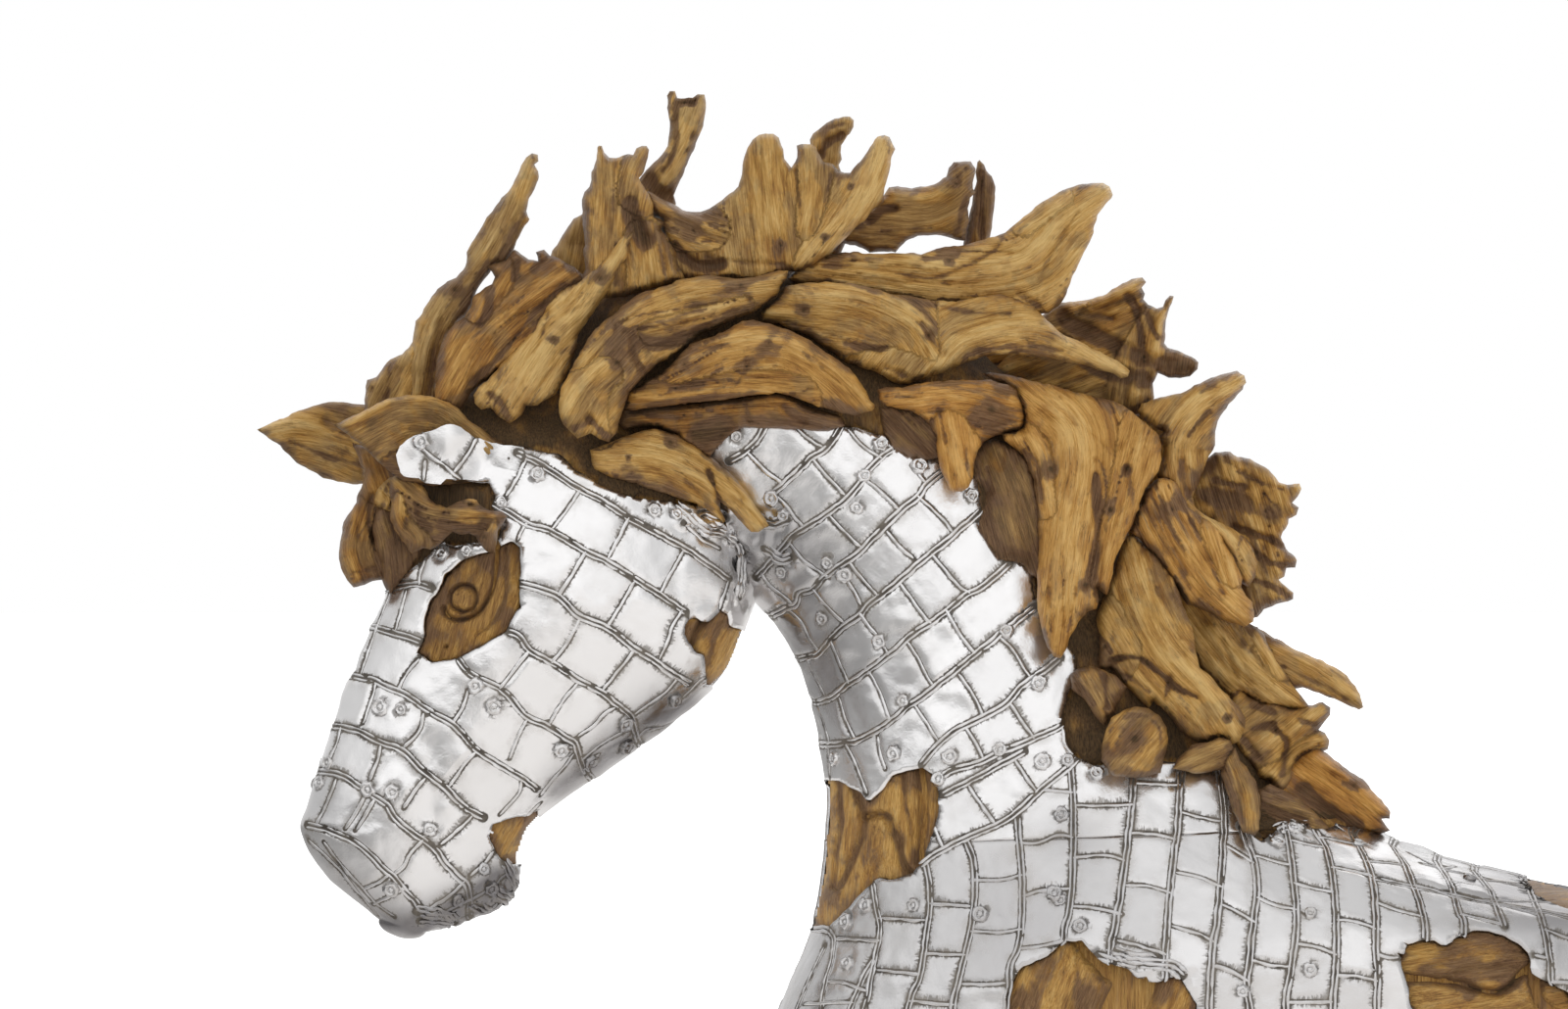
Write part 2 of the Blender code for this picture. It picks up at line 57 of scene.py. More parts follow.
# Every table is in millimetres. x runs back from the muzzle and z up from the flat cut, as the left
# side is seen by an eye at viewPlace; y runs across, and is negative on the left.
mm = 0.001
eyeAway = 9000
viewPlace = np.array((-450.0, -eyeAway, 605.0))
eyeFlat = viewPlace[[0, 2]]
# how far inside the solids' box every point is kept, in metres
boxMargin = 1e-4


# sums on many points at once

def lattice(cells, seed):
    # a number from -1 to 1 for each whole place, mixed from its three counts
    mixed = (cells[..., 0] * 374761393 + cells[..., 1] * 668265263
             + cells[..., 2] * 1440662683 + seed * 974711) & 0xffffffff
    mixed = ((mixed ^ (mixed >> 13)) * 1274126177) & 0xffffffff
    return ((mixed ^ (mixed >> 16)) & 0xffff) / 32767.5 - 1


def smoothStep(part):
    return part * part * (3 - 2 * part)


def noiseAt(points, size, seed=0):
    places = points / size
    cells = np.floor(places).astype(np.int64)
    part = smoothStep(places - cells)
    total = np.zeros(len(points))
    for corner in range(8):
        step = np.array((corner & 1, corner >> 1 & 1, corner >> 2 & 1))
        share = np.prod(np.where(step, part, 1 - part), axis=1)
        total += share * lattice(cells + step, seed)
    return total


def roughAt(points, size, seed=0, octaves=3):
    total = sum(noiseAt(points, size / 2 ** k, seed + 17 * k) / 2 ** k for k in range(octaves))
    return total * 0.9


def eased(value, low, high):
    return smoothStep(np.clip((value - low) / (high - low), 0, 1))


def unit(vectors):
    return vectors / np.maximum(np.linalg.norm(vectors, axis=-1, keepdims=True), 1e-9)


def upright(places):
    # places (x, z) as points in the middle plane
    return np.insert(places, 1, 0, axis=1)


def fading(places, x, z, reach):
    # one at (x, z), fading away over that reach
    return np.exp(-((places - (x, z)) ** 2).sum(axis=1) / reach ** 2)


def spacedOut(points, step):
    # the same line with points about a step apart
    gaps = np.linalg.norm(np.diff(points, axis=0), axis=1)
    run = np.concatenate([[0], np.cumsum(gaps)])
    count = max(int(run[-1] / step), 1) + 1
    at = np.linspace(0, run[-1], count)
    return np.stack([np.interp(at, run, points[:, k]) for k in range(points.shape[1])], 1)


def throughStations(stations, at):
    # rows of a table joined by smooth curves; at counts the rows
    rows = np.array(stations, float)
    last = len(rows) - 1
    i = np.minimum(at.astype(int), last - 1)
    t = (at - i)[:, None]
    a, b, c, d = rows[np.maximum(i - 1, 0)], rows[i], rows[i + 1], rows[np.minimum(i + 2, last)]
    return 0.5 * (2 * b + (c - a) * t + (2 * a - 5 * b + 4 * c - d) * t * t
                  + (3 * b - a - 3 * c + d) * t ** 3)


def curvedLine(flat, share=5, shift=(0, 0)):
    # a smooth line through the places of a table, with that share of points for each
    line = np.array(flat, float).reshape(-1, 2) + shift
    return throughStations(line, np.linspace(0, len(line) - 1.001, share * len(line)))


def seen(points):
    # where the eye sees a point of the left side; the right side is taken straight across
    nearer = np.where(points[:, 1] < 0, eyeAway / (eyeAway + points[:, 1]), 1.0)[:, None]
    return eyeFlat + (points[:, [0, 2]] - eyeFlat) * nearer


def placedAt(places, depths, side=-1):
    # the points at those depths that are seen at those places
    scale = (eyeAway + depths) / eyeAway if side < 0 else np.ones(len(depths))
    flat = eyeFlat + (places - eyeFlat) * scale[:, None]
    return np.stack([flat[:, 0], depths, flat[:, 1]], 1)


def insideOutline(places, outline):
    inside = np.zeros(len(places), bool)
    x, z = places[:, 0], places[:, 1]
    for (ax, az), (bx, bz) in zip(outline, np.roll(outline, -1, axis=0)):
        if az == bz:
            continue
        crosses = (az > z) != (bz > z)
        inside ^= crosses & (x < (bx - ax) * (z - az) / (bz - az) + ax)
    return inside


def nearestOnOutline(places, outline, closed=True):
    best, spot = np.full(len(places), 1e9), places.copy()
    ends = np.roll(outline, -1, axis=0) if closed else outline[1:]
    for start, end in zip(outline, ends):
        along = end - start
        share = np.clip(((places - start) @ along) / max(along @ along, 1e-9), 0, 1)
        near = start + share[:, None] * along
        gap = np.linalg.norm(places - near, axis=1)
        closer = gap < best
        best[closer], spot[closer] = gap[closer], near[closer]
    return best, spot


def ragged(outline, seed, amount=1.5, pitch=11, step=4):
    # an outline worn a little uneven
    ring = np.array(outline, float).reshape(-1, 2)
    points = []
    for start, end in zip(ring, np.roll(ring, -1, axis=0)):
        count = max(int(np.linalg.norm(end - start) / step), 1)
        points += [start + (end - start) * k / count for k in range(count)]
    points = np.array(points)
    flat = upright(points)
    return points + amount * np.stack([roughAt(flat, pitch, seed), roughAt(flat, pitch, seed + 5)], 1)


def placesIn(low, high, step, rowStep):
    # a grid of places, in rows, and its size
    xs, zs = np.arange(low[0], high[0], step), np.arange(low[1], high[1], rowStep)
    return np.stack(np.meshgrid(xs, zs, indexing="ij"), -1)


patch = {"rowShare": 0.87, "jitter": 0.5, "margin": 0.6, "merge": 0.05}


def patchOf(outline, pitch, seed):
    # an outline filled with even triangles: places, faces, edges and how many faces each edge has
    flat = placesIn(outline.min(axis=0), outline.max(axis=0), pitch, pitch * patch["rowShare"])
    flat[:, 1::2, 0] += pitch / 2
    flat = flat.reshape(-1, 2)
    count = len(flat)
    flat += patch["jitter"] * np.stack([
        lattice(np.stack([np.arange(count), np.full(count, k), np.zeros(count, int)], -1), seed)
        for k in (0, 1)], 1)
    flat = flat[insideOutline(flat, outline)
                & (nearestOnOutline(flat, outline)[0] > patch["margin"] * pitch)]
    corners = [Vector(p) for p in np.concatenate([outline, flat])]
    found = delaunay_2d_cdt(corners, [], [list(range(len(outline)))], 1, patch["merge"])
    places = np.array([tuple(p) for p in found[0]])
    faces = np.array([face for face in found[2] if len(face) == 3])
    ends = np.sort(np.concatenate([faces[:, [0, 1]], faces[:, [1, 2]], faces[:, [2, 0]]]), axis=1)
    edges, uses = np.unique(ends, axis=0, return_counts=True)
    return places, faces, edges, uses


def crossesOf(points, faces):
    # each triangle's normal, as long as twice its area
    corner = points[faces]
    return np.cross(corner[:, 1] - corner[:, 0], corner[:, 2] - corner[:, 0])


def facedTo(side, points, faces):
    # a patch's faces, turned round where they look away from that side
    return faces[:, ::-1] if crossesOf(points, faces)[:, 1].sum() * side < 0 else faces


def usedOnly(faces, count):
    # which of the points the faces use, and the faces with those numbered afresh
    used = np.unique(faces)
    renumber = np.full(count, -1)
    renumber[used] = np.arange(len(used))
    return used, renumber[faces]


def meshPiece(name, points, faces, slot, material, **facts):
    mesh = bpy.data.meshes.new(name)
    faces = np.asarray(faces, np.int32)
    sides = faces.shape[1]
    mesh.vertices.add(len(points))
    points = np.clip(np.asarray(points) * mm, np.array(cadBox[0]) + boxMargin,
                     np.array(cadBox[1]) - boxMargin)
    mesh.vertices.foreach_set("co", points.ravel().astype(np.float32))
    mesh.loops.add(faces.size)
    mesh.loops.foreach_set("vertex_index", faces.ravel())
    mesh.polygons.add(len(faces))
    mesh.polygons.foreach_set("loop_start", np.arange(len(faces), dtype=np.int32) * sides)
    mesh.polygons.foreach_set("loop_total", np.full(len(faces), sides, np.int32))
    mesh.update(calc_edges=True)
    mesh.validate()
    mesh.shade_smooth()
    for key, values in facts.items():
        values = np.asarray(values, np.float32)
        kind = "FLOAT" if values.ndim == 1 else "FLOAT_VECTOR"
        layer = mesh.attributes.new(key, kind, "POINT")
        layer.data.foreach_set("value" if values.ndim == 1 else "vector", values.ravel())
    mesh.materials.append(material)
    piece = bpy.data.objects.new(name, mesh)
    bpy.context.scene.collection.objects.link(piece)
    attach(piece, "root")
    print(name, len(mesh.polygons))
    return piece


# shader maths

class Wire:
    # a socket that can be used in sums
    def __init__(self, maker, socket):
        self.maker, self.socket = maker, socket

    def maths(self, operation, *others):
        return self.maker.add("ShaderNodeMath", {"operation": operation}, dict(enumerate((self, *others))))

    def __add__(self, other):
        return self.maths("ADD", other)

    def __sub__(self, other):
        return self.maths("SUBTRACT", other)

    def __rsub__(self, other):
        return self.maker.add("ShaderNodeMath", {"operation": "SUBTRACT"}, {0: other, 1: self})

    def __mul__(self, other):
        return self.maths("MULTIPLY", other)

    def __truediv__(self, other):
        return self.maths("DIVIDE", other)

    __radd__, __rmul__ = __add__, __mul__

    def between(self, low, high):
        # eased from none at low to one at high
        return self.maker.add("ShaderNodeMapRange", {"interpolation_type": "SMOOTHSTEP"},
                              {"Value": self, "From Min": low, "From Max": high})


class Maker:
    # adds nodes to one tree
    def __init__(self, tree):
        self.tree = tree

    def add(self, kind, settings=None, values=None, output=0):
        node = self.tree.nodes.new(kind)
        for key, value in (settings or {}).items():
            if key == "stops":
                ramp = node.color_ramp
                while len(ramp.elements) < len(value):
                    ramp.elements.new(1)
                for stop, (place, colour) in zip(ramp.elements, value):
                    stop.position, stop.color = place, (*colour, 1)
            else:
                setattr(node, key, value)
        for key, value in (values or {}).items():
            self.set(node.inputs[key], value)
        return Wire(self, node.outputs[output])

    def set(self, socket, value):
        if isinstance(value, Wire):
            self.tree.links.new(value.socket, socket)
        elif isinstance(value, tuple) and len(value) == 3 and socket.type == "RGBA":
            socket.default_value = (*value, 1)
        else:
            socket.default_value = value

    def blend(self, share, first, second):
        return self.add("ShaderNodeMix", {"data_type": "RGBA"}, {0: share, 6: first, 7: second}, 2)

    def vectorMaths(self, operation, first, second, output=0):
        return self.add("ShaderNodeVectorMath", {"operation": operation}, {0: first, 1: second}, output)

    def fact(self, name, output=2):
        return self.add("ShaderNodeAttribute", {"attribute_name": name}, output=output)

    def noise(self, where, scale, detail=3.0, roughness=0.55, distortion=0.0):
        return self.add("ShaderNodeTexNoise", None,
                        {"Vector": where, "Scale": scale, "Detail": detail,
                         "Roughness": roughness, "Distortion": distortion})


class Finish(Maker):
    # one material and its shader
    def __init__(self, name):
        self.material = bpy.data.materials.new(name)
        self.material.use_nodes = True
        super().__init__(self.material.node_tree)
        self.shader = self.tree.nodes["Principled BSDF"]

    def give(self, **sockets):
        for key, value in sockets.items():
            self.set(self.shader.inputs[key.replace("_", " ")], value)

    def bump(self, height, strength, depth):
        self.give(Normal=self.add("ShaderNodeBump", None,
                                  {"Height": height, "Strength": strength, "Distance": depth}))


# the horse's form

bodyForm = {
    # front (x, z), back (x, z), half width, fullness of the back: from the flat cut to the poll
    "stations": (
        (-478, 0, 502, 0, 214, 2.2), (-466, 58, 510, 112, 222, 2.2), (-447, 112, 468, 190, 222, 2.2),
        (-426, 162, 352, 216, 208, 2.2), (-415, 212, 232, 244, 190, 2.2),
        (-409, 262, 140, 282, 170, 2.1), (-408, 312, 55, 350, 150, 2.0),
        (-415, 360, -12, 444, 134, 1.9), (-424, 410, -72, 540, 122, 1.8),
        (-445, 460, -136, 646, 114, 1.7), (-474, 500, -216, 742, 106, 1.7),
        (-500, 530, -330, 826, 100, 1.6), (-520, 558, -480, 852, 94, 1.6),
        (-560, 585, -612, 838, 82, 1.6), (-600, 600, -700, 776, 60, 1.8)),
    "frontFullness": 2.0, "widthShare": 0.97, "turn": 0.0,
}
headForm = {
    # nose (x, z), jaw (x, z), half width, fullness of the jaw: from the poll to the muzzle
    "stations": (
        (-745, 742, -540, 672, 52, 2.5), (-800, 708, -492, 590, 86, 2.5),
        (-832, 650, -480, 528, 100, 2.5), (-838, 592, -494, 470, 108, 2.5),
        (-850, 538, -516, 426, 107, 2.5), (-874, 482, -572, 378, 97, 2.5),
        (-898, 422, -642, 328, 85, 2.5), (-919, 364, -703, 285, 74, 2.5),
        (-938, 304, -721, 252, 67, 2.5), (-944, 272, -722, 222, 62, 2.5),
        (-918, 228, -745, 194, 54, 2.5), (-864, 184, -818, 171, 34, 2.5)),
    "frontFullness": 1.75, "widthShare": 0.985, "turn": math.radians(9),
}
turnPlace = np.array((-530.0, 0.0, 0.0))


def turned(points, angle):
    c, s = math.cos(angle), math.sin(angle)
    return (points - turnPlace) @ np.array(((c, s, 0), (-s, c, 0), (0, 0, 1))) + turnPlace


def formGrid(form, at, turns, inset=0.0):
    # a grid of points: one ring for each place along the form
    rows = throughStations(form["stations"], at)[:, :, None]
    front = np.stack([rows[:, 0], 0 * rows[:, 0], rows[:, 1]], -1)
    back = np.stack([rows[:, 2], 0 * rows[:, 0], rows[:, 3]], -1)
    half, fullness = rows[:, 4] * form["widthShare"] - inset, rows[:, 5]
    along, side = -np.cos(turns)[None], np.sin(turns)[None]
    power = 2 / np.where(along < 0, form["frontFullness"], fullness)
    along = np.sign(along) * np.abs(along) ** power
    side = np.sign(side) * np.abs(side) ** power
    reach = (back - front) / 2
    length = np.linalg.norm(reach, axis=-1, keepdims=True)
    points = (front + back) / 2 + reach * (length - inset) / length * along[..., None]
    points[..., 1] += half * side
    return turned(points, form["turn"])


def turnsRound(nearCount, farCount):
    far = np.linspace(0, math.pi, farCount, endpoint=False)
    return np.concatenate([far, np.linspace(math.pi, 2 * math.pi, nearCount, endpoint=False)])


def gridNormals(grid):
    # pointing out, and whether the grid's own order had to be turned for that
    down = np.gradient(grid, axis=0)
    around = np.roll(grid, -1, axis=1) - np.roll(grid, 1, axis=1)
    normals = unit(np.cross(around, down))
    centres = grid.mean(axis=1, keepdims=True)
    inward = ((grid - centres) * normals).sum() < 0
    return (-normals if inward else normals), inward


def gridFaces(grid):
    rows, columns = grid.shape[:2]
    first = np.arange(rows - 1)[:, None] * columns + np.arange(columns)[None]
    beside = np.arange(rows - 1)[:, None] * columns + (np.arange(columns)[None] + 1) % columns
    quads = np.stack([first, beside, beside + columns, first + columns], -1).reshape(-1, 4)
    return quads[:, ::-1] if gridNormals(grid)[1] else quads


def rounded(grid, bulge, rows):
    # closes the last ring with a rounded end
    centre = grid[-1].mean(axis=0)
    onward = unit(centre - grid[-3].mean(axis=0))
    turns = np.linspace(0, math.pi / 2 - 0.04, rows + 1)[1:, None, None]
    end = centre + (grid[-1] - centre)[None] * np.cos(turns) + onward * bulge * np.sin(turns)
    return np.concatenate([grid, end])


def treeOf(grids, *others):
    # a search tree of other (points, faces) and of grids
    points, faces = [], []
    for more, moreFaces in [*others, *((grid.reshape(-1, 3), gridFaces(grid)) for grid in grids)]:
        faces += (moreFaces + len(points)).tolist()
        points += more.tolist()
    return BVHTree.FromPolygons(points, faces)


def lastStation(form):
    return len(form["stations"]) - 1


# where the neck ends and the trunk begins, in stations from the flat cut
trunkTop = 5
skinGrid = {"head": (0, lastStation(headForm), 200, 150, 100),
            "neck": (trunkTop, lastStation(bodyForm), 214, 190, 110),
            "trunk": (0.055, trunkTop, 76, 370, 200)}


def skinRings(part):
    # from the first station to the last: rows, and points round the near and the far side
    first, last, rows, near, far = skinGrid[part]
    form = headForm if part == "head" else bodyForm
    return formGrid(form, np.linspace(first, last, rows), turnsRound(near, far))


headGrid, neckGrid, trunkGrid = rounded(skinRings("head"), 12, 12), skinRings("neck"), skinRings("trunk")
plainHead = treeOf([headGrid[::4, ::2]])
plainBody = treeOf([trunkGrid[::5, ::2], neckGrid[::4, ::2]])


# the tongue of skin that reaches forward over the brow, in front of the ear

browTongue = {
    "outline": (-846, 655, -842, 664, -835, 671, -828, 675, -818, 678, -805, 682, -795, 686, -786, 687,
        -780, 684, -772, 678, -765, 673, -752, 669, -740, 666, -728, 665, -716, 663, -713, 655, -721, 635,
        -732, 616, -742, 613, -748, 625, -758, 629, -778, 630, -795, 631, -800, 626, -810, 626, -820, 629,
        -823, 632, -830, 633, -838, 634, -842, 637, -844, 646),
    "hinge": (-752, 652),
    "forward": 2.2,
    "overEar": 16.0,
    "fall": 0.04,
    "follow": 0.16,
    "thickness": 3.0,
    "pitch": 3.2,
}


def tongueSheet():
    outline = ragged(browTongue["outline"], 77, 0.9, 8)
    places, faces, edges, uses = patchOf(outline, browTongue["pitch"], 5)
    x, z = browTongue["hinge"]
    hinge = onSkin(x, z, -1)[0]
    off = x - places[:, 0]
    depths = (hinge.y - browTongue["forward"]
              + np.where(off > 0, browTongue["fall"], browTongue["follow"]) * off
              - browTongue["overEar"] * eased(off, 2, 44))
    depths += 1.6 * roughAt(upright(places), 26, 61, 2)
    points = placedAt(places, depths)
    return points, facedTo(-1, points, faces)


def onSkin(x, z, side):
    # the skin's point and normal that are seen there
    if side < 0:
        start = Vector(viewPlace)
        return plainSkin.ray_cast(start, (Vector((x, 0, z)) - start).normalized())[:2]
    return plainSkin.ray_cast(Vector((x, 2000, z)), Vector((0, -1, 0)))[:2]


coarse = [headGrid[::2], trunkGrid[::3], neckGrid[::3]]
plainSkin = treeOf(coarse)
tonguePoints, tongueFaces = tongueSheet()
plainSkin = treeOf(coarse, (tonguePoints, tongueFaces))
print("forms drawn")


def depthIn(points, tree):
    # how far each point lies inside a form, negative outside
    depths = np.empty(len(points))
    for k, point in enumerate(points):
        place, normal = tree.find_nearest(Vector(point))[:2]
        depths[k] = -(Vector(point) - place).dot(normal)
    return depths


# what is cut out of the skin

openings = {
    "eye": (-791, 539, -778, 550, -747, 558, -728, 568, -720, 561, -719, 525, -720, 501, -734, 475, -757, 461,
        -783, 448, -809, 443, -824, 455, -819, 470, -819, 490, -810, 508, -802, 522),
    "brow": (-940, 636, -843, 634, -814, 629, -778, 630, -751, 627, -745, 611, -751, 604, -735, 587,
        -745, 564, -765, 567, -785, 561, -798, 566, -811, 554, -838, 531, -853, 518, -868, 514, -940, 512),
    "cheek": (-551, 482, -547, 488, -538, 489, -532, 484, -525, 487, -513, 496, -506, 492, -502, 480,
        -470, 470, -490, 410, -528, 420, -531, 441, -531, 450, -542, 456, -548, 465),
    "chin": (-747, 277, -733, 284, -714, 287, -700, 292, -690, 240, -730, 238, -740, 245, -747, 257,
        -750, 267),
    "chest": (-460, 324, -407, 324, -387, 321, -374, 310, -364, 301, -354, 311, -341, 328, -325, 333,
        -309, 336, -299, 331, -292, 311, -293, 288, -300, 265, -308, 242, -318, 228, -332, 223, -355, 223,
        -369, 211, -392, 185, -407, 172, -417, 172, -470, 166, -470, 180),
    "shoulder": (-221, 107, -217, 122, -206, 133, -181, 145, -166, 159, -145, 160, -131, 142, -115, 135,
        -98, 130, -93, 122, -80, 118, -70, 117, -60, 122, -47, 124, -42, 115, -28, 95, -30, 70, -70, 48,
        -140, 42, -205, 62, -226, 84),
    "barrel": (190, 91, 185, 118, 179, 140, 188, 158, 206, 161, 214, 160, 219, 154, 230, 156, 233, 161,
        250, 170, 271, 171, 299, 158, 311, 146, 314, 127, 329, 118, 350, 108, 362, 84, 330, 58, 270, 48,
        215, 56),
    "backBand": (304, 226, 312, 213, 322, 204, 350, 194, 424, 178, 466, 192, 456, 262, 315, 264),
}
rightOpenings = {
    "rightEye": (-742, 560, -718, 500, -790, 446, -824, 458, -796, 534),
    "rightFlank": (-60, 150, -20, 146, 10, 158, 40, 158, 60, 130, 96, 110, 50, 60, 0, 52, -50, 66, -90, 110),
}
maneEdge = (-960, 628, -846, 628, -846, 645, -844, 657, -841, 669, -828, 675, -814, 680, -797, 683, -786, 688,
    -766, 677, -745, 667, -718, 665, -698, 660, -678, 657, -662, 640, -635, 624, -612, 614, -582, 609,
    -566, 607, -539, 602, -517, 630, -529, 656, -514, 677, -494, 687, -470, 690, -417, 687, -378, 684,
    -351, 675, -334, 662, -315, 654, -295, 652, -255, 634, -248, 597, -252, 581, -232, 551, -212, 549,
    -195, 538, -192, 508, -155, 452, -151, 428, -161, 411, -167, 385, -161, 353, -135, 339, -115, 339,
    -95, 346, -66, 343, -3, 339, 3, 322, 14, 290, 25, 270, 37, 263, 54, 273, 66, 284, 80, 282, 103, 273,
    114, 280, 126, 276, 152, 272, 170, 276, 176, 430, 180, 1300, -960, 1300)

outlines = {name: ragged(line, 3 + k) for k, (name, line) in enumerate(openings.items())}
rightOutlines = {name: ragged(line, 40 + k) for k, (name, line) in enumerate(rightOpenings.items())}
maneOutline = ragged(maneEdge, 31, 1.2)
# how far across the body the cuts of the left side reach; the band along the back crosses the ridge
leftReach, bandReach = 12, 60


def cutAt(points):
    # which points of the skin are cut away
    places, across = seen(points), points[:, 1]
    cut = insideOutline(places, maneOutline) | insideOutline(places, outlines["brow"])
    for name, outline in outlines.items():
        if name != "brow":
            reach = bandReach if name == "backBand" else leftReach
            cut |= (across < reach) & insideOutline(places, outline)
    for outline in rightOutlines.values():
        cut |= (across > leftReach) & insideOutline(places, outline)
    return cut


# The weld seams: double ones along the rows of plates, single ones across them.

headRows = ((-722, 658, -705, 650, -685, 638, -662, 623, -630, 606, -610, 592, -582, 577, -550, 560,
    -528, 545, -505, 528), (-747, 606, -730, 596, -710, 585, -688, 578, -652, 557, -630, 547, -602, 529,
    -575, 512, -550, 495), (-719, 524, -702, 520, -680, 511, -660, 492, -632, 480, -605, 460, -582, 445,
    -560, 430, -545, 422), (-731, 475, -720, 470, -710, 456, -688, 444, -660, 426, -638, 414, -620, 400,
    -605, 387, -602, 375, -598, 362), (-783, 448, -770, 432, -745, 420, -730, 408, -712, 388, -690, 378,
    -675, 368, -662, 360, -658, 345, -650, 330), (-890, 430, -870, 426, -850, 417, -838, 412, -818, 398,
    -805, 390, -790, 382, -778, 370, -765, 355, -745, 342, -730, 333, -718, 326, -702, 314), (-910, 379,
    -888, 375, -878, 370, -862, 362, -845, 357, -835, 350, -822, 336, -812, 328, -795, 315, -780, 300,
    -770, 292, -756, 285), (-932, 334, -905, 330, -888, 320, -870, 308, -855, 298, -848, 286, -830, 270,
    -818, 262, -805, 252, -795, 238, -780, 223, -772, 215, -771, 185), (-938, 278, -920, 274, -905, 268,
    -888, 260, -870, 245, -858, 232, -848, 224, -832, 205, -818, 190), (-867, 479, -850, 474, -835, 470,
    -822, 465), (-855, 519, -845, 522, -825, 524, -810, 520))
headCrosses = ((-713, 654, -721, 635, -734, 614), (-658, 620, -672, 600, -687, 580),
    (-608, 592, -616, 575, -630, 550), (-552, 558, -562, 540, -576, 515), (-505, 527, -512, 508, -515, 498),
    (-712, 589, -720, 575, -722, 569), (-652, 557, -665, 535, -680, 512), (-602, 527, -615, 505, -630, 480),
    (-553, 497, -564, 480, -568, 465, -577, 447), (-658, 490, -670, 465, -687, 443),
    (-602, 456, -615, 440, -635, 415), (-710, 455, -722, 440, -740, 417), (-660, 423, -675, 405, -690, 380),
    (-836, 518, -842, 495, -848, 476), (-817, 548, -822, 535, -823, 523), (-853, 515, -868, 475, -875, 455,
    -883, 432), (-823, 448, -838, 430, -844, 415), (-773, 415, -778, 398, -788, 382),
    (-818, 392, -822, 375, -838, 357), (-867, 423, -872, 405, -880, 382), (-903, 378, -908, 360, -917, 338),
    (-862, 360, -865, 345, -873, 323), (-816, 326, -825, 315, -838, 295), (-764, 352, -775, 340, -792, 317),
    (-712, 385, -720, 370, -730, 345), (-718, 322, -720, 310, -740, 288), (-768, 287, -785, 270, -800, 258),
    (-908, 325, -915, 305, -928, 278), (-878, 308, -886, 292, -898, 274), (-868, 305, -876, 290, -888, 272),
    (-818, 262, -832, 248, -838, 235, -848, 227), (-880, 212, -865, 218, -852, 227), (-920, 260, -905, 240,
    -880, 212, -865, 195, -848, 184), (-936, 262, -905, 233, -885, 208, -865, 185),
    (-818, 190, -795, 202, -775, 220), (-820, 184, -785, 194, -750, 212, -730, 230), (-602, 390, -588, 400,
    -570, 413, -558, 427), (-660, 368, -645, 378, -632, 392, -622, 397), (-698, 308, -685, 325, -675, 335,
    -664, 350), (-656, 343, -638, 358, -618, 370, -605, 376), (-599, 365, -590, 375, -575, 377, -553, 388),
    (-654, 333, -638, 350), (-826, 668, -810, 654, -795, 643, -780, 631), (-763, 674, -772, 658, -786, 638),
    (-816, 650, -818, 630), (-550, 584, -532, 570, -515, 560), (-553, 407, -544, 415, -536, 424, -530, 428),
    (-712, 285, -704, 294, -698, 300), (-745, 250, -758, 236, -770, 226), (-870, 196, -850, 206, -836, 214))
neckRows = ((-506, 649, -488, 660, -476, 673, -468, 690), (-463, 614, -450, 627, -430, 645, -421, 654,
    -407, 662, -397, 675, -392, 686), (-479, 530, -465, 545, -450, 562, -442, 572, -430, 580, -407, 595,
    -385, 612, -370, 630, -366, 638, -350, 654, -334, 666), (-470, 487, -450, 498, -438, 503, -435, 513,
    -420, 518, -412, 528, -400, 538, -384, 548, -370, 560, -350, 580, -330, 600, -314, 612, -305, 625,
    -286, 640), (-436, 447, -417, 452, -407, 462, -400, 470, -388, 482, -372, 492, -364, 503, -350, 513,
    -332, 528, -315, 543, -300, 555, -285, 567, -265, 585, -246, 600), (-418, 402, -402, 408, -395, 414,
    -380, 425, -362, 437, -345, 450, -335, 458, -328, 465, -315, 475, -285, 495, -265, 512, -246, 522,
    -220, 545), (-422, 360, -400, 360, -380, 363, -360, 372, -340, 385, -325, 398, -310, 408, -295, 420,
    -273, 437, -255, 452, -235, 468, -228, 475, -210, 488, -194, 500), (-310, 340, -295, 358, -275, 375,
    -260, 382, -240, 392, -222, 403, -205, 422, -185, 435, -168, 449), (-293, 326, -275, 335, -250, 342,
    -230, 352, -205, 362, -193, 367, -175, 375, -163, 381), (-288, 309, -270, 318, -250, 328, -235, 337,
    -218, 346, -205, 353), (-312, 238, -290, 252, -265, 265, -240, 275, -220, 285, -205, 298, -190, 312,
    -175, 325, -160, 337, -151, 346))
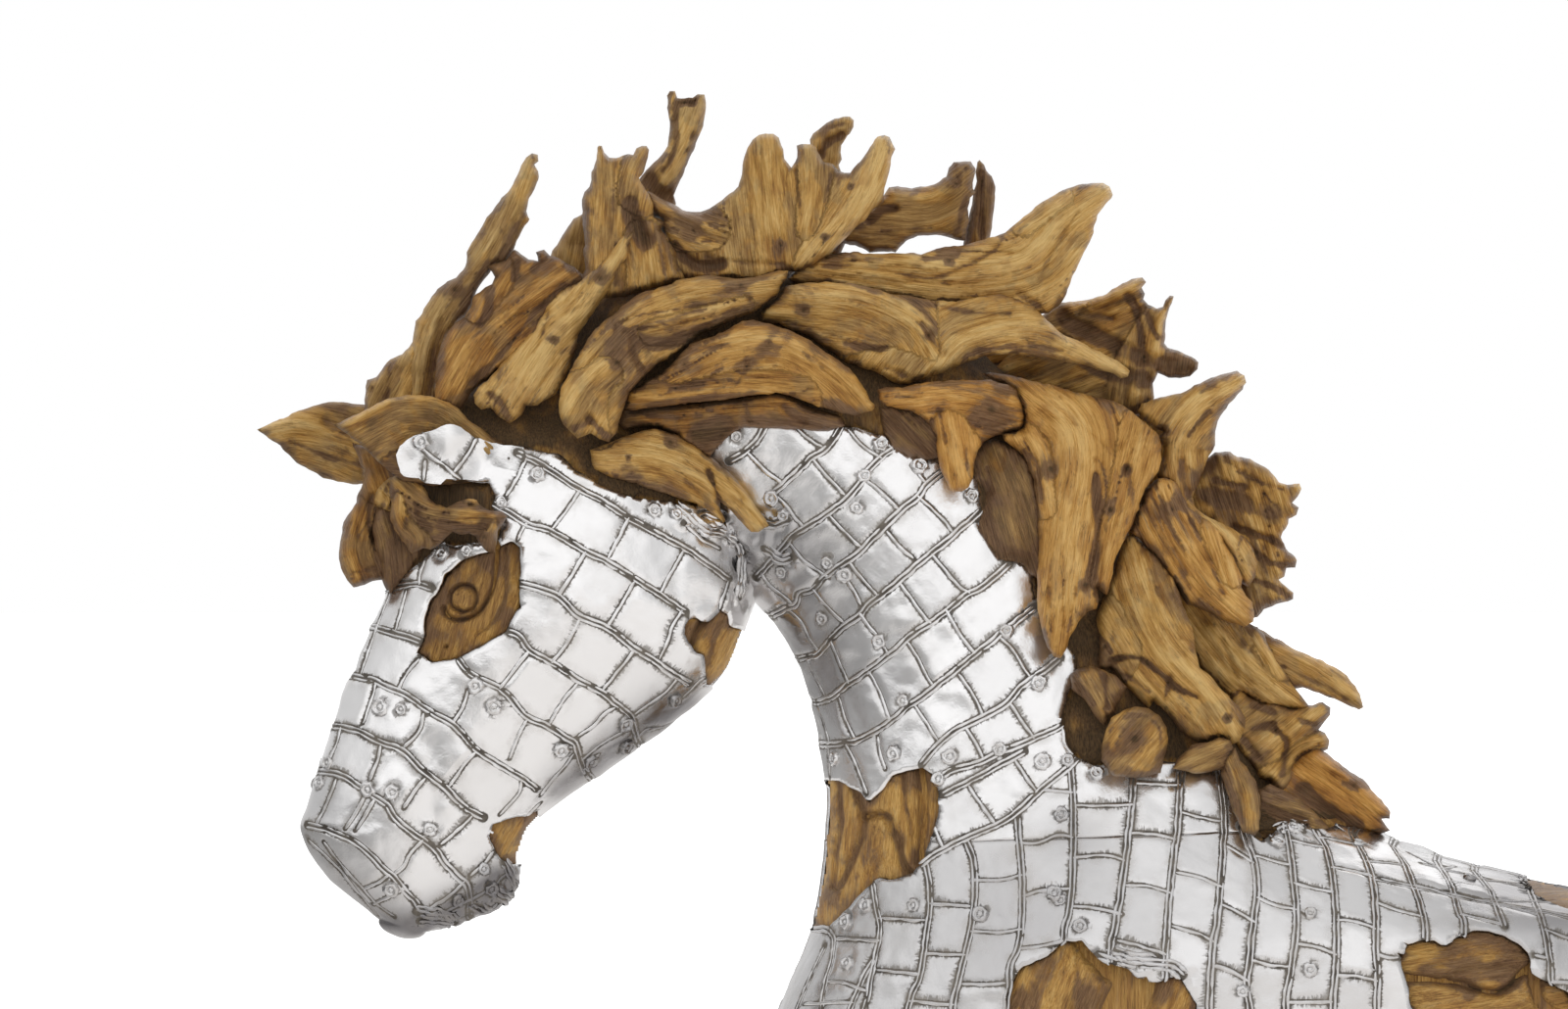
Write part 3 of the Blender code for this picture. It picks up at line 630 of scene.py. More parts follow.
neckCrosses = ((-487, 658, -470, 640, -452, 627), (-438, 685, -425, 672, -410, 663),
    (-421, 652, -405, 632, -388, 615), (-460, 614, -447, 603, -438, 590, -430, 582), (-384, 682, -373, 668,
    -360, 658, -350, 652), (-352, 676, -338, 662), (-366, 630, -350, 617, -333, 601), (-405, 594, -392, 580,
    -380, 568, -372, 562), (-345, 578, -332, 562, -318, 550), (-314, 615, -300, 602, -288, 590, -278, 578),
    (-320, 645, -304, 627), (-300, 555, -285, 537, -270, 520, -260, 515), (-332, 525, -320, 508, -305, 488,
    -300, 484), (-384, 546, -370, 528, -355, 512), (-445, 565, -430, 548, -410, 533, -404, 530),
    (-388, 530, -378, 515, -372, 502), (-474, 535, -465, 522, -450, 510, -442, 503),
    (-421, 518, -408, 502, -390, 484), (-447, 497, -433, 485, -425, 468, -415, 454), (-374, 495, -365, 482,
    -355, 470, -344, 451), (-285, 498, -275, 480, -265, 465, -255, 453), (-325, 465, -315, 450, -305, 430,
    -298, 420), (-428, 448, -420, 430, -409, 409), (-403, 465, -395, 445, -385, 422),
    (-365, 435, -355, 418, -342, 385), (-272, 432, -260, 415, -247, 390), (-230, 470, -215, 455, -203, 435,
    -198, 428), (-317, 400, -305, 382, -293, 362), (-395, 408, -388, 385, -378, 365),
    (-417, 398, -410, 380, -405, 362), (-220, 403, -208, 385, -195, 366), (-265, 378, -255, 362, -247, 346),
    (-355, 368, -353, 352, -347, 335), (-388, 360, -380, 345, -372, 325, -366, 310),
    (-262, 318, -250, 300, -235, 280), (-215, 345, -203, 327, -192, 312), (-298, 277, -288, 255),
    (-406, 358, -404, 328), (-165, 378, -155, 350))
trunkRows = ((-405, 170, -400, 162, -402, 140, -408, 120, -412, 95), (-360, 218, -357, 195, -353, 175,
    -354, 160, -358, 140, -362, 120, -365, 102, -370, 85), (-306, 238, -302, 215, -302, 190, -305, 170,
    -308, 145, -313, 120, -320, 105, -325, 85), (-265, 262, -258, 245, -255, 220, -257, 190, -260, 170,
    -266, 145, -272, 120, -278, 90), (-212, 285, -210, 260, -207, 225, -207, 200, -208, 175, -212, 150,
    -220, 128), (-157, 336, -155, 300, -155, 270, -155, 240, -157, 210, -160, 185, -165, 160), (-93, 346,
    -94, 310, -97, 280, -102, 240, -106, 210, -112, 175, -118, 142), (-45, 344, -46, 310, -48, 275, -53, 240,
    -57, 200, -60, 160, -61, 142), (-5, 338, -1, 290, -2, 250, -5, 215, -8, 180, -13, 145, -16, 90), (18, 275,
    30, 240, 33, 210, 29, 180, 25, 140, 22, 115, 25, 90), (61, 282, 67, 250, 70, 220, 73, 190, 72, 160,
    68, 135, 63, 105, 62, 90), (91, 275, 102, 258, 107, 240, 111, 215, 113, 185, 114, 150, 112, 120, 110, 90),
    (130, 270, 138, 255, 147, 235, 152, 215, 154, 185, 154, 155, 156, 120, 155, 90), (171, 258, 183, 240,
    190, 222, 197, 205, 202, 185, 205, 162), (216, 242, 229, 220, 235, 202, 240, 185, 244, 172), (254, 232,
    270, 212, 277, 195, 285, 175), (306, 224, 318, 195, 325, 175, 330, 150, 333, 118), (362, 220, 374, 180,
    378, 140, 380, 90), (410, 208, 418, 170, 422, 120, 422, 90), (454, 190, 462, 150, 466, 90))
trunkCrosses = ((-355, 183, -305, 180), (-398, 162, -353, 160), (-357, 130, -312, 126),
    (-407, 118, -390, 117, -365, 108), (-323, 98, -277, 94), (-302, 198, -260, 195), (-307, 147, -265, 145),
    (-270, 116, -247, 115, -224, 116), (-260, 222, -230, 222, -207, 227), (-260, 170, -230, 168, -207, 172),
    (-210, 260, -190, 260, -170, 268, -155, 265), (-186, 314, -155, 312), (-207, 205, -185, 212, -158, 213),
    (-210, 152, -185, 155, -165, 160), (-153, 298, -120, 298, -93, 300), (-155, 245, -120, 247, -102, 242),
    (-157, 195, -130, 193, -105, 187), (-92, 322, -65, 320, -45, 319), (-97, 270, -70, 269, -50, 264),
    (-102, 217, -80, 216, -55, 209), (-110, 160, -85, 154, -60, 145), (-45, 292, -25, 286, -2, 282),
    (-50, 230, -25, 225, -3, 215), (-55, 175, -30, 168, -10, 158), (1, 258, 15, 250, 30, 240),
    (-4, 198, 15, 188, 31, 179), (-12, 135, 5, 130, 25, 117), (33, 205, 50, 197, 73, 192),
    (27, 140, 50, 134, 68, 133), (30, 248, 50, 242, 67, 238), (68, 263, 90, 258, 102, 256),
    (70, 220, 90, 214, 111, 210), (73, 157, 95, 153, 114, 145), (63, 97, 110, 97),
    (108, 236, 130, 232, 150, 227), (114, 182, 135, 180, 154, 172), (114, 125, 135, 123, 156, 118),
    (93, 267, 115, 263, 136, 259), (143, 242, 165, 240, 182, 238), (154, 200, 175, 192, 202, 185),
    (155, 147, 165, 143, 179, 142), (192, 218, 215, 212, 235, 204), (240, 188, 265, 182, 283, 177),
    (228, 222, 250, 217, 268, 214), (186, 252, 220, 235, 235, 237), (265, 222, 290, 220, 308, 218),
    (276, 198, 300, 192, 320, 187), (308, 215, 325, 208, 332, 202), (326, 172, 350, 163, 375, 160),
    (315, 145, 330, 142), (333, 118, 350, 117, 378, 114), (310, 220, 340, 214, 364, 210),
    (365, 195, 390, 190, 412, 186), (375, 142, 400, 138, 420, 136), (412, 170, 440, 165, 458, 162),
    (420, 110, 445, 108, 464, 106), (-412, 66, -368, 62), (-368, 40, -323, 38), (-323, 68, -276, 64),
    (-276, 38, -220, 36), (-220, 80, -204, 78), (-16, 60, 24, 56), (24, 72, 62, 68), (62, 48, 109, 46),
    (109, 74, 154, 70), (154, 44, 200, 42), (333, 68, 379, 64), (379, 44, 422, 42), (422, 66, 466, 62))
# the seams over the chest and the rump, as they are seen from in front and behind: where the eye
# is, the rows' places across, and how high they reach
endSeams = ((-2000, (-118, -62, -4, 52, 112), 160), (2000, (-150, -92, -30, 34, 96, 152), 250))
# how much the rows droop to the sides there, and the crosses between them: one for each pitch of a
# row's height, the lowest and how far the next ones lie above, and what every other row adds
endShape = {"droop": 0.0008, "pitch": 56, "lowest": 28, "rise": 52, "stagger": 24}
seamShape = {"step": 2.5, "break": 40, "bridge": 150, "ridge": 0.55}


def seamOver(line, side, shift=(0, 0)):
    # the unbroken stretches of a seam on that side of the skin
    runs, run = [], []
    for x, z in spacedOut(curvedLine(line, 12, shift), seamShape["step"]):
        place = onSkin(x, z, side)[0]
        if place is None or (run and (place - run[-1]).length > seamShape["break"]):
            runs.append(run)
            run = []
        if place is not None:
            run.append(place)
    return [np.array(run) for run in [*runs, run] if len(run) > 3]


def bridged(start, end):
    # from one point to another over the ridge between them
    return np.array([plainSkin.find_nearest(Vector(start * (1 - share) + end * share))[0]
                     for share in np.linspace(0, 1, 16)])


def facing(line, x):
    # a seam over the chest or the rump, drawn as it is seen from there
    flat = spacedOut(np.array(line, float).reshape(-1, 2), seamShape["step"])
    places = [plainSkin.ray_cast(Vector((x, y, z)), Vector((-x, 0, 0)))[0] for y, z in flat]
    return np.array([place for place in places if place is not None])


def seamsOf(rows, crosses, shift):
    # both sides' seams; a row that ends at the ridge on both sides is carried over it
    doubles, singles = [], []
    for line in rows:
        left, right = seamOver(line, -1), seamOver(line, 1, shift)
        doubles += left + right
        if left and right:
            for a, b in ((left[0][0], right[0][0]), (left[-1][-1], right[-1][-1])):
                normal = plainSkin.find_nearest(Vector(a))[1]
                if abs(normal.y) < seamShape["ridge"] and np.linalg.norm(a - b) <= seamShape["bridge"]:
                    doubles.append(bridged(a, b))
    for line in crosses:
        singles += seamOver(line, -1) + seamOver(line, 1, shift)
    return doubles, singles


# the trunk's rows that leave the picture below are carried down to the flat cut
trunkLines = [line + (line[-2] + 1, 60, line[-2] + 1, 4) if line[-1] < 175 else line
              for line in trunkRows]
seams = {"head": seamsOf(headRows, headCrosses, (3, -4)), "neck": seamsOf(neckRows, neckCrosses, (-4, 5)),
         "trunk": seamsOf(trunkLines, trunkCrosses, (5, 3))}
for x, lines, top in endSeams:
    for k, y in enumerate(lines):
        high = top - endShape["droop"] * y * y
        seams["trunk"][0].append(facing((y, high, y + 5, top / 2, y - 3, 4), x))
        if k:
            for step in range(top // endShape["pitch"]):
                z = endShape["lowest"] + endShape["rise"] * step + endShape["stagger"] * (k % 2)
                seams["trunk"][1].append(facing((lines[k - 1] + 3, z, y - 3, z - 5), x))
print("seams laid:", [len(part) for pair in seams.values() for part in pair])


# finishes

def metalFinish(name, beads=False):
    made = Finish(name)
    where = made.add("ShaderNodeNewGeometry")
    scaled = made.add("ShaderNodeVectorMath", {"operation": "SCALE"}, {0: where, "Scale": 1 / mm})
    cloud = made.noise(scaled, 0.013, 3.0)
    mottle = made.noise(scaled, 0.06, 4.0, 0.6)
    fine = made.noise(scaled, 0.5, 3.0, 0.65)
    if beads:
        crown, tone = made.fact("crown"), made.fact("plateTone")
        soot = (crown + (fine - 0.5) * 0.7 + (mottle - 0.5) * 0.5).between(0.34, 0.0) * 0.66
        grime = mottle.between(0.4, 0.75) * 0.5
    else:
        gap, tone, reach = made.fact("seamGap"), made.fact("plateTone"), made.fact("sootReach")
        combed = made.vectorMaths("MULTIPLY", made.fact("seamRun", 1), (1.0, 0.16, 1.0))
        ticks = made.noise(combed, 0.55, 2.0, 0.5)
        rim = (gap + (fine - 0.5) * 1.6).between(1.5, 0.3) * (ticks + mottle * 0.6).between(0.45, 0.7)
        feather = (gap / reach + (0.5 - ticks) * 2.6 + (0.5 - fine) * 0.7
                   + (0.5 - mottle) * 1.0).between(0.9, 0.2)
        soot = (rim * 0.64 + feather * 0.68).between(0.0, 1.1)
        grime = (gap.between(12.0, 0.0) * mottle.between(0.36, 0.7) * 0.35
                 + cloud.between(0.52, 0.72) * 0.15)
    # how light the metal is: the plates' own tone with painted shade laid in
    bright = made.blend(tone, (0.22, 0.21, 0.215), (0.95, 0.94, 0.94))
    dulled = made.blend(grime, bright, (0.40, 0.365, 0.325))
    sooty = made.blend(mottle.between(0.3, 0.7), (0.060, 0.050, 0.040), (0.20, 0.175, 0.145))
    made.give(Base_Color=made.blend(soot, dulled, sooty),
              Roughness=soot * 0.28 + grime * 0.12 + 0.24 + (mottle - 0.5) * 0.16,
              Metallic=1.0 - soot * 0.7)
    made.bump(fine * 0.3 + mottle, 0.35 if beads else 0.24, 0.0012 if beads else 0.0018)
    return made.material


def woodFinish(name, gloss, weathered):
    made = Finish(name)
    grain, tint = made.fact("grain", 1), made.fact("tint")
    hollow, stained, ruddy = (made.fact(fact) for fact in ("hollow", "stained", "ruddy"))

    def drawnOut(share):
        return made.add("ShaderNodeMapping", None, {"Vector": grain, "Scale": (share, 1.0, 1.0)})

    broad = made.noise(drawnOut(0.55), 0.045, 4.0, 0.62, 0.5)
    along, longer = drawnOut(0.14), drawnOut(0.05)
    streak = made.noise(along, 0.15, 4.0, 0.62, 0.4)
    fibre = made.noise(longer, 0.7, 3.0, 0.7)
    pore = made.noise(longer, 2.2, 2.0, 0.6)
    warm = made.add("ShaderNodeValToRGB", {"stops": (
        (0.0, (0.15, 0.066, 0.018)), (0.3, (0.35, 0.168, 0.039)), (0.5, (0.53, 0.282, 0.068)),
        (0.72, (0.70, 0.410, 0.118)), (1.0, (0.86, 0.580, 0.222)))},
        {"Fac": (streak - 0.5) * 1.3 + (fibre - 0.5) * 1.3 + (pore - 0.5) * 0.5
                + (tint - 0.5) * 0.75 + 0.53})
    warm = made.blend(broad.between(0.47, 0.66) * 0.45, warm, (0.40, 0.185, 0.048))
    worn = made.blend((streak * 0.5 + fibre * 0.5).between(0.3, 0.7), (0.16, 0.110, 0.052),
                      (0.50, 0.368, 0.185))
    greyed = made.noise(grain, 0.028, 3.0, 0.6, 0.4) + (0.5 - tint) * 0.4 - ruddy * 0.3
    warm = made.blend(greyed.between(0.42, 0.58) * weathered, warm, worn)
    rusty = made.vectorMaths("MULTIPLY", warm, (1.02, 0.86, 0.66))
    warm = made.blend(ruddy, warm, rusty)
    # stains, deepened where painted shade from grooves, edges and hollows is carried in the same fact
    stainWithShade = (stained + (broad - 0.5) * 2.3 + (streak - 0.5) * 1.6
             + (fibre - 0.5) * 0.9).between(0.22, 0.80) * 0.85
    purple = made.blend(fibre.between(0.3, 0.7), (0.115, 0.057, 0.030), (0.26, 0.148, 0.078))
    # painted shade: a dark brown laid where the wood is hollow, shut in or grooved
    paintedShade = made.blend(fibre.between(0.3, 0.7), (0.046, 0.028, 0.012), (0.17, 0.100, 0.041))
    pores = (pore - 0.5).between(0.05, 0.15) * 0.3
    # how much painted shade, with the wood's pores and splits
    shut = (hollow + (streak - 0.5) * 0.3 + (broad - 0.5) * 0.5).between(0.32, 0.90) * 0.90 + pores * 0.5
    split = (made.noise(longer, 0.28, 2.0, 0.5) - 0.5).maths("ABSOLUTE").between(0.02, 0.004)
    shut = (shut + split * broad.between(0.46, 0.62) * 0.55).between(0.0, 1.0)
    made.give(Base_Color=made.blend(shut, made.blend(stainWithShade, warm, purple), paintedShade),
              Roughness=(fibre - 0.5) * 0.35 + gloss + hollow * 0.15 - stainWithShade * 0.06)
    made.shader.inputs["Specular IOR Level"].default_value = 0.36
    made.bump(streak * 0.8 + fibre * 1.5 + pore * 0.4 - split * 0.3, 0.75, 0.0026)
    return made.material


plateMetal, beadMetal = metalFinish("burnishedPlate"), metalFinish("weldBead", True)
rootWood, carvedTeak = woodFinish("weatheredRoot", 0.44, 0.4), woodFinish("carvedTeak", 0.48, 0.15)


# the plates

plateRelief = {"seamDip": 1.1, "dipReach": 4.2, "flatten": 0.62, "tilt": 0.03, "step": 0.7,
               "dents": 2.0, "dentSize": 34, "ripples": 0.3, "wall": 3.4, "trunkCalm": 0.45,
               "pressed": (-3.5, 3.2), "fewest": 40, "most": 6000, "flattest": 0.035,
               "creaseReach": 20, "crease": 3.2, "creaseLevel": 0.25, "fineCrease": 1.4,
               "hidden": 5, "edgeReach": 6.5, "edgeMove": 14, "thickness": 3.2}
# How light each part's plates are, the trunk's lower as painted shade, and how much its plates differ;
# then places painted darker as shade, as (x, z, reach, share).
toneAndShade = {"head": (1.0, 0.06), "neck": (0.98, 0.09), "trunk": (0.78, 0.08)}
shadedPlaces = ((-452, 560, 42, 0.55), (-425, 500, 45, 0.48), (-395, 440, 45, 0.36), (-460, 420, 50, 0.24),
    (-890, 225, 40, 0.2), (-365, 385, 28, 0.15), (-160, 270, 28, 0.22), (180, 245, 30, 0.22),
    (-470, 200, 60, 0.1), (-678, 314, 20, 0.6), (-650, 336, 24, 0.8), (-610, 360, 27, 0.85),
    (-575, 386, 26, 0.85), (-545, 402, 22, 0.7), (-500, 540, 22, 0.4), (-478, 590, 26, 0.4),
    (-900, 208, 26, 0.4), (-915, 300, 36, 0.3), (-865, 172, 28, 1.0), (-822, 176, 22, 1.0),
    (-785, 190, 22, 1.1), (-755, 204, 22, 1.1), (-732, 224, 22, 1.0), (-210, 190, 130, 0.28),
    (300, 245, 95, 0.7), (400, 215, 70, 0.4))
# where the round welds sit, as x, z by turns
blobs = {
    "head": (-701, 636, -738, 607, -582, 599, -560, 595, -820, 669, -774, 558, -799, 555, -862, 398,
        -841, 396, -746, 399, -765, 420, -677, 354, -850, 311, -875, 314, -811, 273, -756, 233, -748, 212,
        -782, 200, -611, 381, -611, 358, -646, 342, -561, 405, -851, 212, -916, 341, -924, 321),
    "neck": (-499, 675, -451, 594, -376, 602, -463, 611, -368, 635, -453, 536, -406, 545, -389, 533,
        -412, 488, -353, 465, -223, 476, -351, 667, -311, 645, -258, 614, -329, 405, -190, 423, -338, 351,
        -399, 346, -281, 348, -230, 355, -186, 343, -293, 325),
    "trunk": (-160, 344, -131, 331, -167, 289, -318, 196, -367, 196, -387, 179, -386, 137, -250, 187,
        -174, 208, -168, 201, -148, 175, 87, 188, 87, 130, 54, 261, 69, 276, 136, 260, 250, 224, 18, 108),
}
# lines where the skin is crumpled and welded over in a rope of lumps
crumples = {
    "head": ((-560, 605, -530, 580, -512, 575, -495, 560, -493, 530, -495, 510),
        (-553, 586, -530, 596, -512, 590), (-826, 190, -804, 188, -784, 182),
        (-822, 180, -800, 177, -776, 178), (-736, 240, -727, 226, -722, 210),
        (-746, 212, -734, 204, -724, 206), (-768, 196, -752, 190, -742, 196)),
    "neck": ((-478, 592, -462, 585, -446, 590), (-470, 560, -452, 548, -440, 552),
        (-228, 690, -222, 660, -226, 640)),
    "trunk": ((-130, 146, -105, 140, -82, 136, -55, 134, -42, 124), (52, 275, 66, 278, 80, 272),
        (-112, 147, -90, 141, -70, 142)),
}
pinHoles = ((-731, 652), (-744, 648))
# how far the metal of each kind of weld reaches from its line, and the soot of some from there
weldEdge = {"double": 3.8, "single": 2.0, "rope": 3.0, "blob": 1.4, "pin": 0.9}
weldSoot = {"rope": 4.5, "blob": 5.5, "pin": 1.0}
seamStep, blobSize, blobSpread = 2.2, 7.6, 1.4


def blobSpots(flat, seed):
    # where the round welds sit on each side, and how big each is
    spots = []
    for k in range(0, len(flat), 2):
        for side in (-1, 1):
            size = blobSize + blobSpread * lattice(np.array([[flat[k], side, k]]), seed)[0]
            place = onSkin(flat[k], flat[k + 1], side)[0]
            if place is not None:
                spots.append((np.array(place), size))
    return spots


blobPlaces = {name: blobSpots(flat, 7) for name, flat in blobs.items()}
turn = np.arange(10) * 0.628
ring = np.stack([np.cos(turn), 0.6 * np.cos(turn + 1), np.sin(turn)], 1)
ropes = {part: [run for line in lines for run in seamOver(line, -1)] for part, lines in crumples.items()}
welds = [(kind, spacedOut(run, seamStep)) for pair in seams.values()
         for kind, runs in zip(("double", "single"), pair) for run in runs]
welds += [("rope", spacedOut(run, seamStep)) for runs in ropes.values() for run in runs]
welds += [("blob", place + ring * size * 0.75) for spots in blobPlaces.values() for place, size in spots]
welds += [("pin", np.array([onSkin(x, z, -1)[0]])) for x, z in pinHoles]
seamPoints = np.concatenate([run for kind, run in welds])
seamRuns = np.concatenate([np.arange(len(run)) * seamStep + 517.0 * k
                           for k, (kind, run) in enumerate(welds)])
seamEdges = np.concatenate([np.full(len(run), weldEdge[kind]) for kind, run in welds])
seamTree = KDTree(len(seamPoints))
for k, point in enumerate(seamPoints):
    seamTree.insert(Vector(point), k)
seamTree.balance()


def seamFacts(points):
    # how far each point is from a seam, how far the soot spreads there and its place along the seam
    near = [seamTree.find(p) for p in points.tolist()]
    gaps = np.array([found[2] for found in near])
    nearest = np.array([found[1] for found in near])
    edges = seamEdges[nearest]
    off = (points - seamPoints[nearest]) / np.maximum(gaps, 0.5)[:, None]
    upper = 0.42 + 0.58 * eased(off @ np.array((-0.3, 0.0, 0.95)), -0.3, 0.6)
    reach = (1.6 + 2.6 * upper) * np.clip(0.9 + 1.5 * roughAt(points, 60, 33, 2), 0.15, 1.7)
    for kind, spread in weldSoot.items():
        reach = np.where(edges == weldEdge[kind], spread, reach)
    return gaps, {"seamGap": np.minimum(gaps, 40) - edges, "sootReach": reach,
                  "seamRun": np.stack([seamRuns[nearest], gaps, 0 * gaps], 1)}


def toneAndShadeAt(points, part, spread):
    # each plate's own tone, darkened by the part's painted shade and at the shaded places
    level, vary = toneAndShade[part]
    shade = level + vary * (spread - 0.5) * 2
    flat = seen(points)
    for x, z, reach, share in shadedPlaces:
        shade = shade - share * fading(flat, x, z, reach)
    return np.clip(shade, 0, 1)


def platesOn(gaps):
    # a number for each plate: the ground between seams, filled from point to point
    ground = gaps > plateRelief["wall"]
    huge = gaps.size + 5
    labels = np.where(ground, np.arange(gaps.size).reshape(gaps.shape), huge)
    while True:
        best = np.minimum(labels, np.minimum(np.roll(labels, 1, 1), np.roll(labels, -1, 1)))
        best[1:] = np.minimum(best[1:], labels[:-1])
        best[:-1] = np.minimum(best[:-1], labels[1:])
        best = np.where(ground, best, huge)
        flat = np.append(best.ravel(), np.full(6, huge))
        for again in range(3):
            flat = np.minimum(flat, flat[np.minimum(flat, gaps.size)])
        best = flat[:gaps.size].reshape(gaps.shape)
        if (best == labels).all():
            break
        labels = best
    for again in range(4):
        # the ground under a seam takes the number beside it
        for shift in ((0, 1), (0, -1), (1, 0), (-1, 0)):
            labels = np.where(labels == huge, np.roll(labels, shift, (0, 1)), labels)
    return labels


def dressed(grid, gaps, calm):
    # the plates hammered flat between their seams, tilted, stepped and dented
    points, outward = grid.reshape(-1, 3), gridNormals(grid)[0].reshape(-1, 3)
    numbers = platesOn(gaps).ravel()
    gap = gaps.ravel()
    tone = (lattice(np.stack([numbers, numbers * 3, numbers * 7], -1), 5) + 1) / 2
    moved = points.copy()
    inner = eased(gap, 0.5, 9)
    order = np.argsort(numbers, kind="stable")
    starts = np.flatnonzero(np.diff(numbers[order], prepend=-1))
    for begin, end in zip(starts, np.append(starts[1:], len(order))):
        members = order[begin:end]
        if len(members) < plateRelief["fewest"] or len(members) > plateRelief["most"]:
            continue
        offsets = points[members] - points[members].mean(axis=0)
        spread, axes = np.linalg.eigh(offsets.T @ offsets)
        if spread[0] > plateRelief["flattest"] * spread[1]:
            continue
        plate = tone[members[0]]
        lean = axes[:, 0] + axes[:, 1:] @ (np.array((plate * 97 % 1, plate * 31 % 1))
                                           - 0.5) * 2 * calm * plateRelief["tilt"]
        lean = lean / np.linalg.norm(lean)
        pressed = np.clip(plateRelief["flatten"] * (offsets @ lean), *plateRelief["pressed"])
        moved[members] -= (inner[members] * pressed)[:, None] * lean
    shifted = points + (numbers % 97)[:, None] * 31.7
    lift = -plateRelief["seamDip"] * np.exp(-(gap / plateRelief["dipReach"]) ** 2)
    lift += (tone - 0.6) * plateRelief["step"] * inner
    lift += (plateRelief["dents"] * calm * inner * roughAt(shifted, plateRelief["dentSize"], 9, 2)
             * (0.4 + tone))
    lift += plateRelief["ripples"] * roughAt(points, 9, 21, 2)
    places = seen(points)
    for line in (line for lines in crumples.values() for line in lines):
        near = nearestOnOutline(places, np.array(line, float).reshape(-1, 2), False)[0]
        creased = eased(near, plateRelief["creaseReach"], 4) * (points[:, 1] < 0)
        folds = np.abs(noiseAt(points, 13, 71)) - plateRelief["creaseLevel"]
        lift += creased * (plateRelief["crease"] * folds + plateRelief["fineCrease"] * noiseAt(points, 7, 72))
    return (moved + outward * lift[:, None]).reshape(grid.shape), tone


def thickened(piece, depth):
    # the edge of a sheet turned inwards, so that it shows its thickness
    shape = bmesh.new()
    shape.from_mesh(piece.data)
    shape.normal_update()
    edge = [e for e in shape.edges if e.is_boundary]
    normals = {v: v.normal.copy() for e in edge for v in e.verts}
    grown = bmesh.ops.extrude_edge_only(shape, edges=edge)["geom"]
    side = {v for v in grown if isinstance(v, bmesh.types.BMVert)}
    for v in side:
        twin = min((e.other_vert(v) for e in v.link_edges if e.other_vert(v) not in side),
                   key=lambda w: (w.co - v.co).length, default=None)
        if twin is not None and twin in normals:
            v.co -= normals[twin] * depth * mm
    shape.to_mesh(piece.data)
    shape.free()


def skinPiece(part, grid, other):
    # one part's plates; what lies under the other form is left out
    points = grid.reshape(-1, 3)
    gaps, facts = seamFacts(points)
    shaped, tone = dressed(grid, gaps.reshape(grid.shape[:2]),
                           plateRelief["trunkCalm"] if part == "trunk" else 1.0)
    shaped = shaped.reshape(-1, 3)
    cut = cutAt(points) | (depthIn(points, other) > plateRelief["hidden"])
    quads = gridFaces(grid)
    kept = quads[~cut[quads].any(axis=1)]
    # the edge of each cut is drawn onto its outline
    counts = np.bincount(kept.ravel(), minlength=len(points))
    rim = np.flatnonzero((counts > 0) & (counts < 4))
    places = seen(points[rim])
    best, spot = np.full(len(rim), 1e9), places.copy()
    for outline in [maneOutline, *outlines.values(), *rightOutlines.values()]:
        near, at = nearestOnOutline(places, outline)
        closer = near < best
        best[closer], spot[closer] = near[closer], at[closer]
    for k, index in enumerate(rim):
        if best[k] < plateRelief["edgeReach"]:
            place = onSkin(*spot[k], -1 if points[index][1] < 0 else 1)[0]
            if place is not None and (place - Vector(points[index])).length < plateRelief["edgeMove"]:
                shaped[index] += np.array(place) - points[index]
    used, faces = usedOnly(kept, len(points))
    # each plate's own tone, with painted shade for the part and at the shaded places
    facts["plateTone"] = toneAndShadeAt(points, part, tone)
    piece = meshPiece(part + "Plates", shaped[used], faces, "burnished_metal", plateMetal,
                      **{key: fact[used] for key, fact in facts.items()})
    thickened(piece, plateRelief["thickness"])
    if part == "head":
        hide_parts("metal_skin")
    return shaped, kept


dressedParts = [skinPiece("head", headGrid, plainBody), skinPiece("neck", neckGrid, plainHead),
                skinPiece("trunk", trunkGrid, plainHead), (tonguePoints, tongueFaces)]
skinSurface = treeOf([], *dressedParts)
tongueFacts = seamFacts(tonguePoints)[1]
# the brow plate's tone, with the head's painted shade
tongueFacts["plateTone"] = toneAndShadeAt(tonguePoints, "head", 0.5)
tongueBack = tonguePoints + (0, browTongue["thickness"], 0)
meshPiece("browPlate", np.concatenate([tonguePoints, tongueBack]),
          np.concatenate([tongueFaces, tongueFaces[:, ::-1] + len(tonguePoints)]),
          "burnished_metal", plateMetal,
          **{key: np.concatenate([fact, fact]) for key, fact in tongueFacts.items()})


# the weld beads

beadShape = {"step": 3.3, "sides": 5, "rowHalf": 1.5, "rowHeight": 1.15, "rowApart": 2.25,
             "crossHalf": 1.95, "crossHeight": 1.3, "sink": 0.4, "lost": 6, "end": 0.45,
             "ropeTracks": (-4.8, 0, 4.8), "ropeHalf": 2.3, "ropeHeight": 2.4, "ropeWild": 1.9,
             "domeGap": 5, "domeSides": 14}
# each ring of a round weld: reach and height in sizes, and how clean its metal is
domeRings = ((1.05, -0.2, 0.0), (0.95, 0.26, 0.35), (0.76, 0.52, 1.0), (0.56, 0.40, 0.6),
             (0.36, 0.14, 0.05), (0.2, 0.42, 0.9))


def settled(run):
    # the stretches of a seam's points and normals on the dressed plates, where they aren't cut away
    pieces, found = [], []
    for point in [*run, None]:
        place = None
        if point is not None:
            place, normal, index, gap = skinSurface.find_nearest(Vector(point))
        if place is not None and gap <= beadShape["lost"]:
            found.append((place, normal))
        else:
            if len(found) > 3:
                pieces.append(tuple(np.array(part) for part in zip(*found)))
            found = []
    return pieces


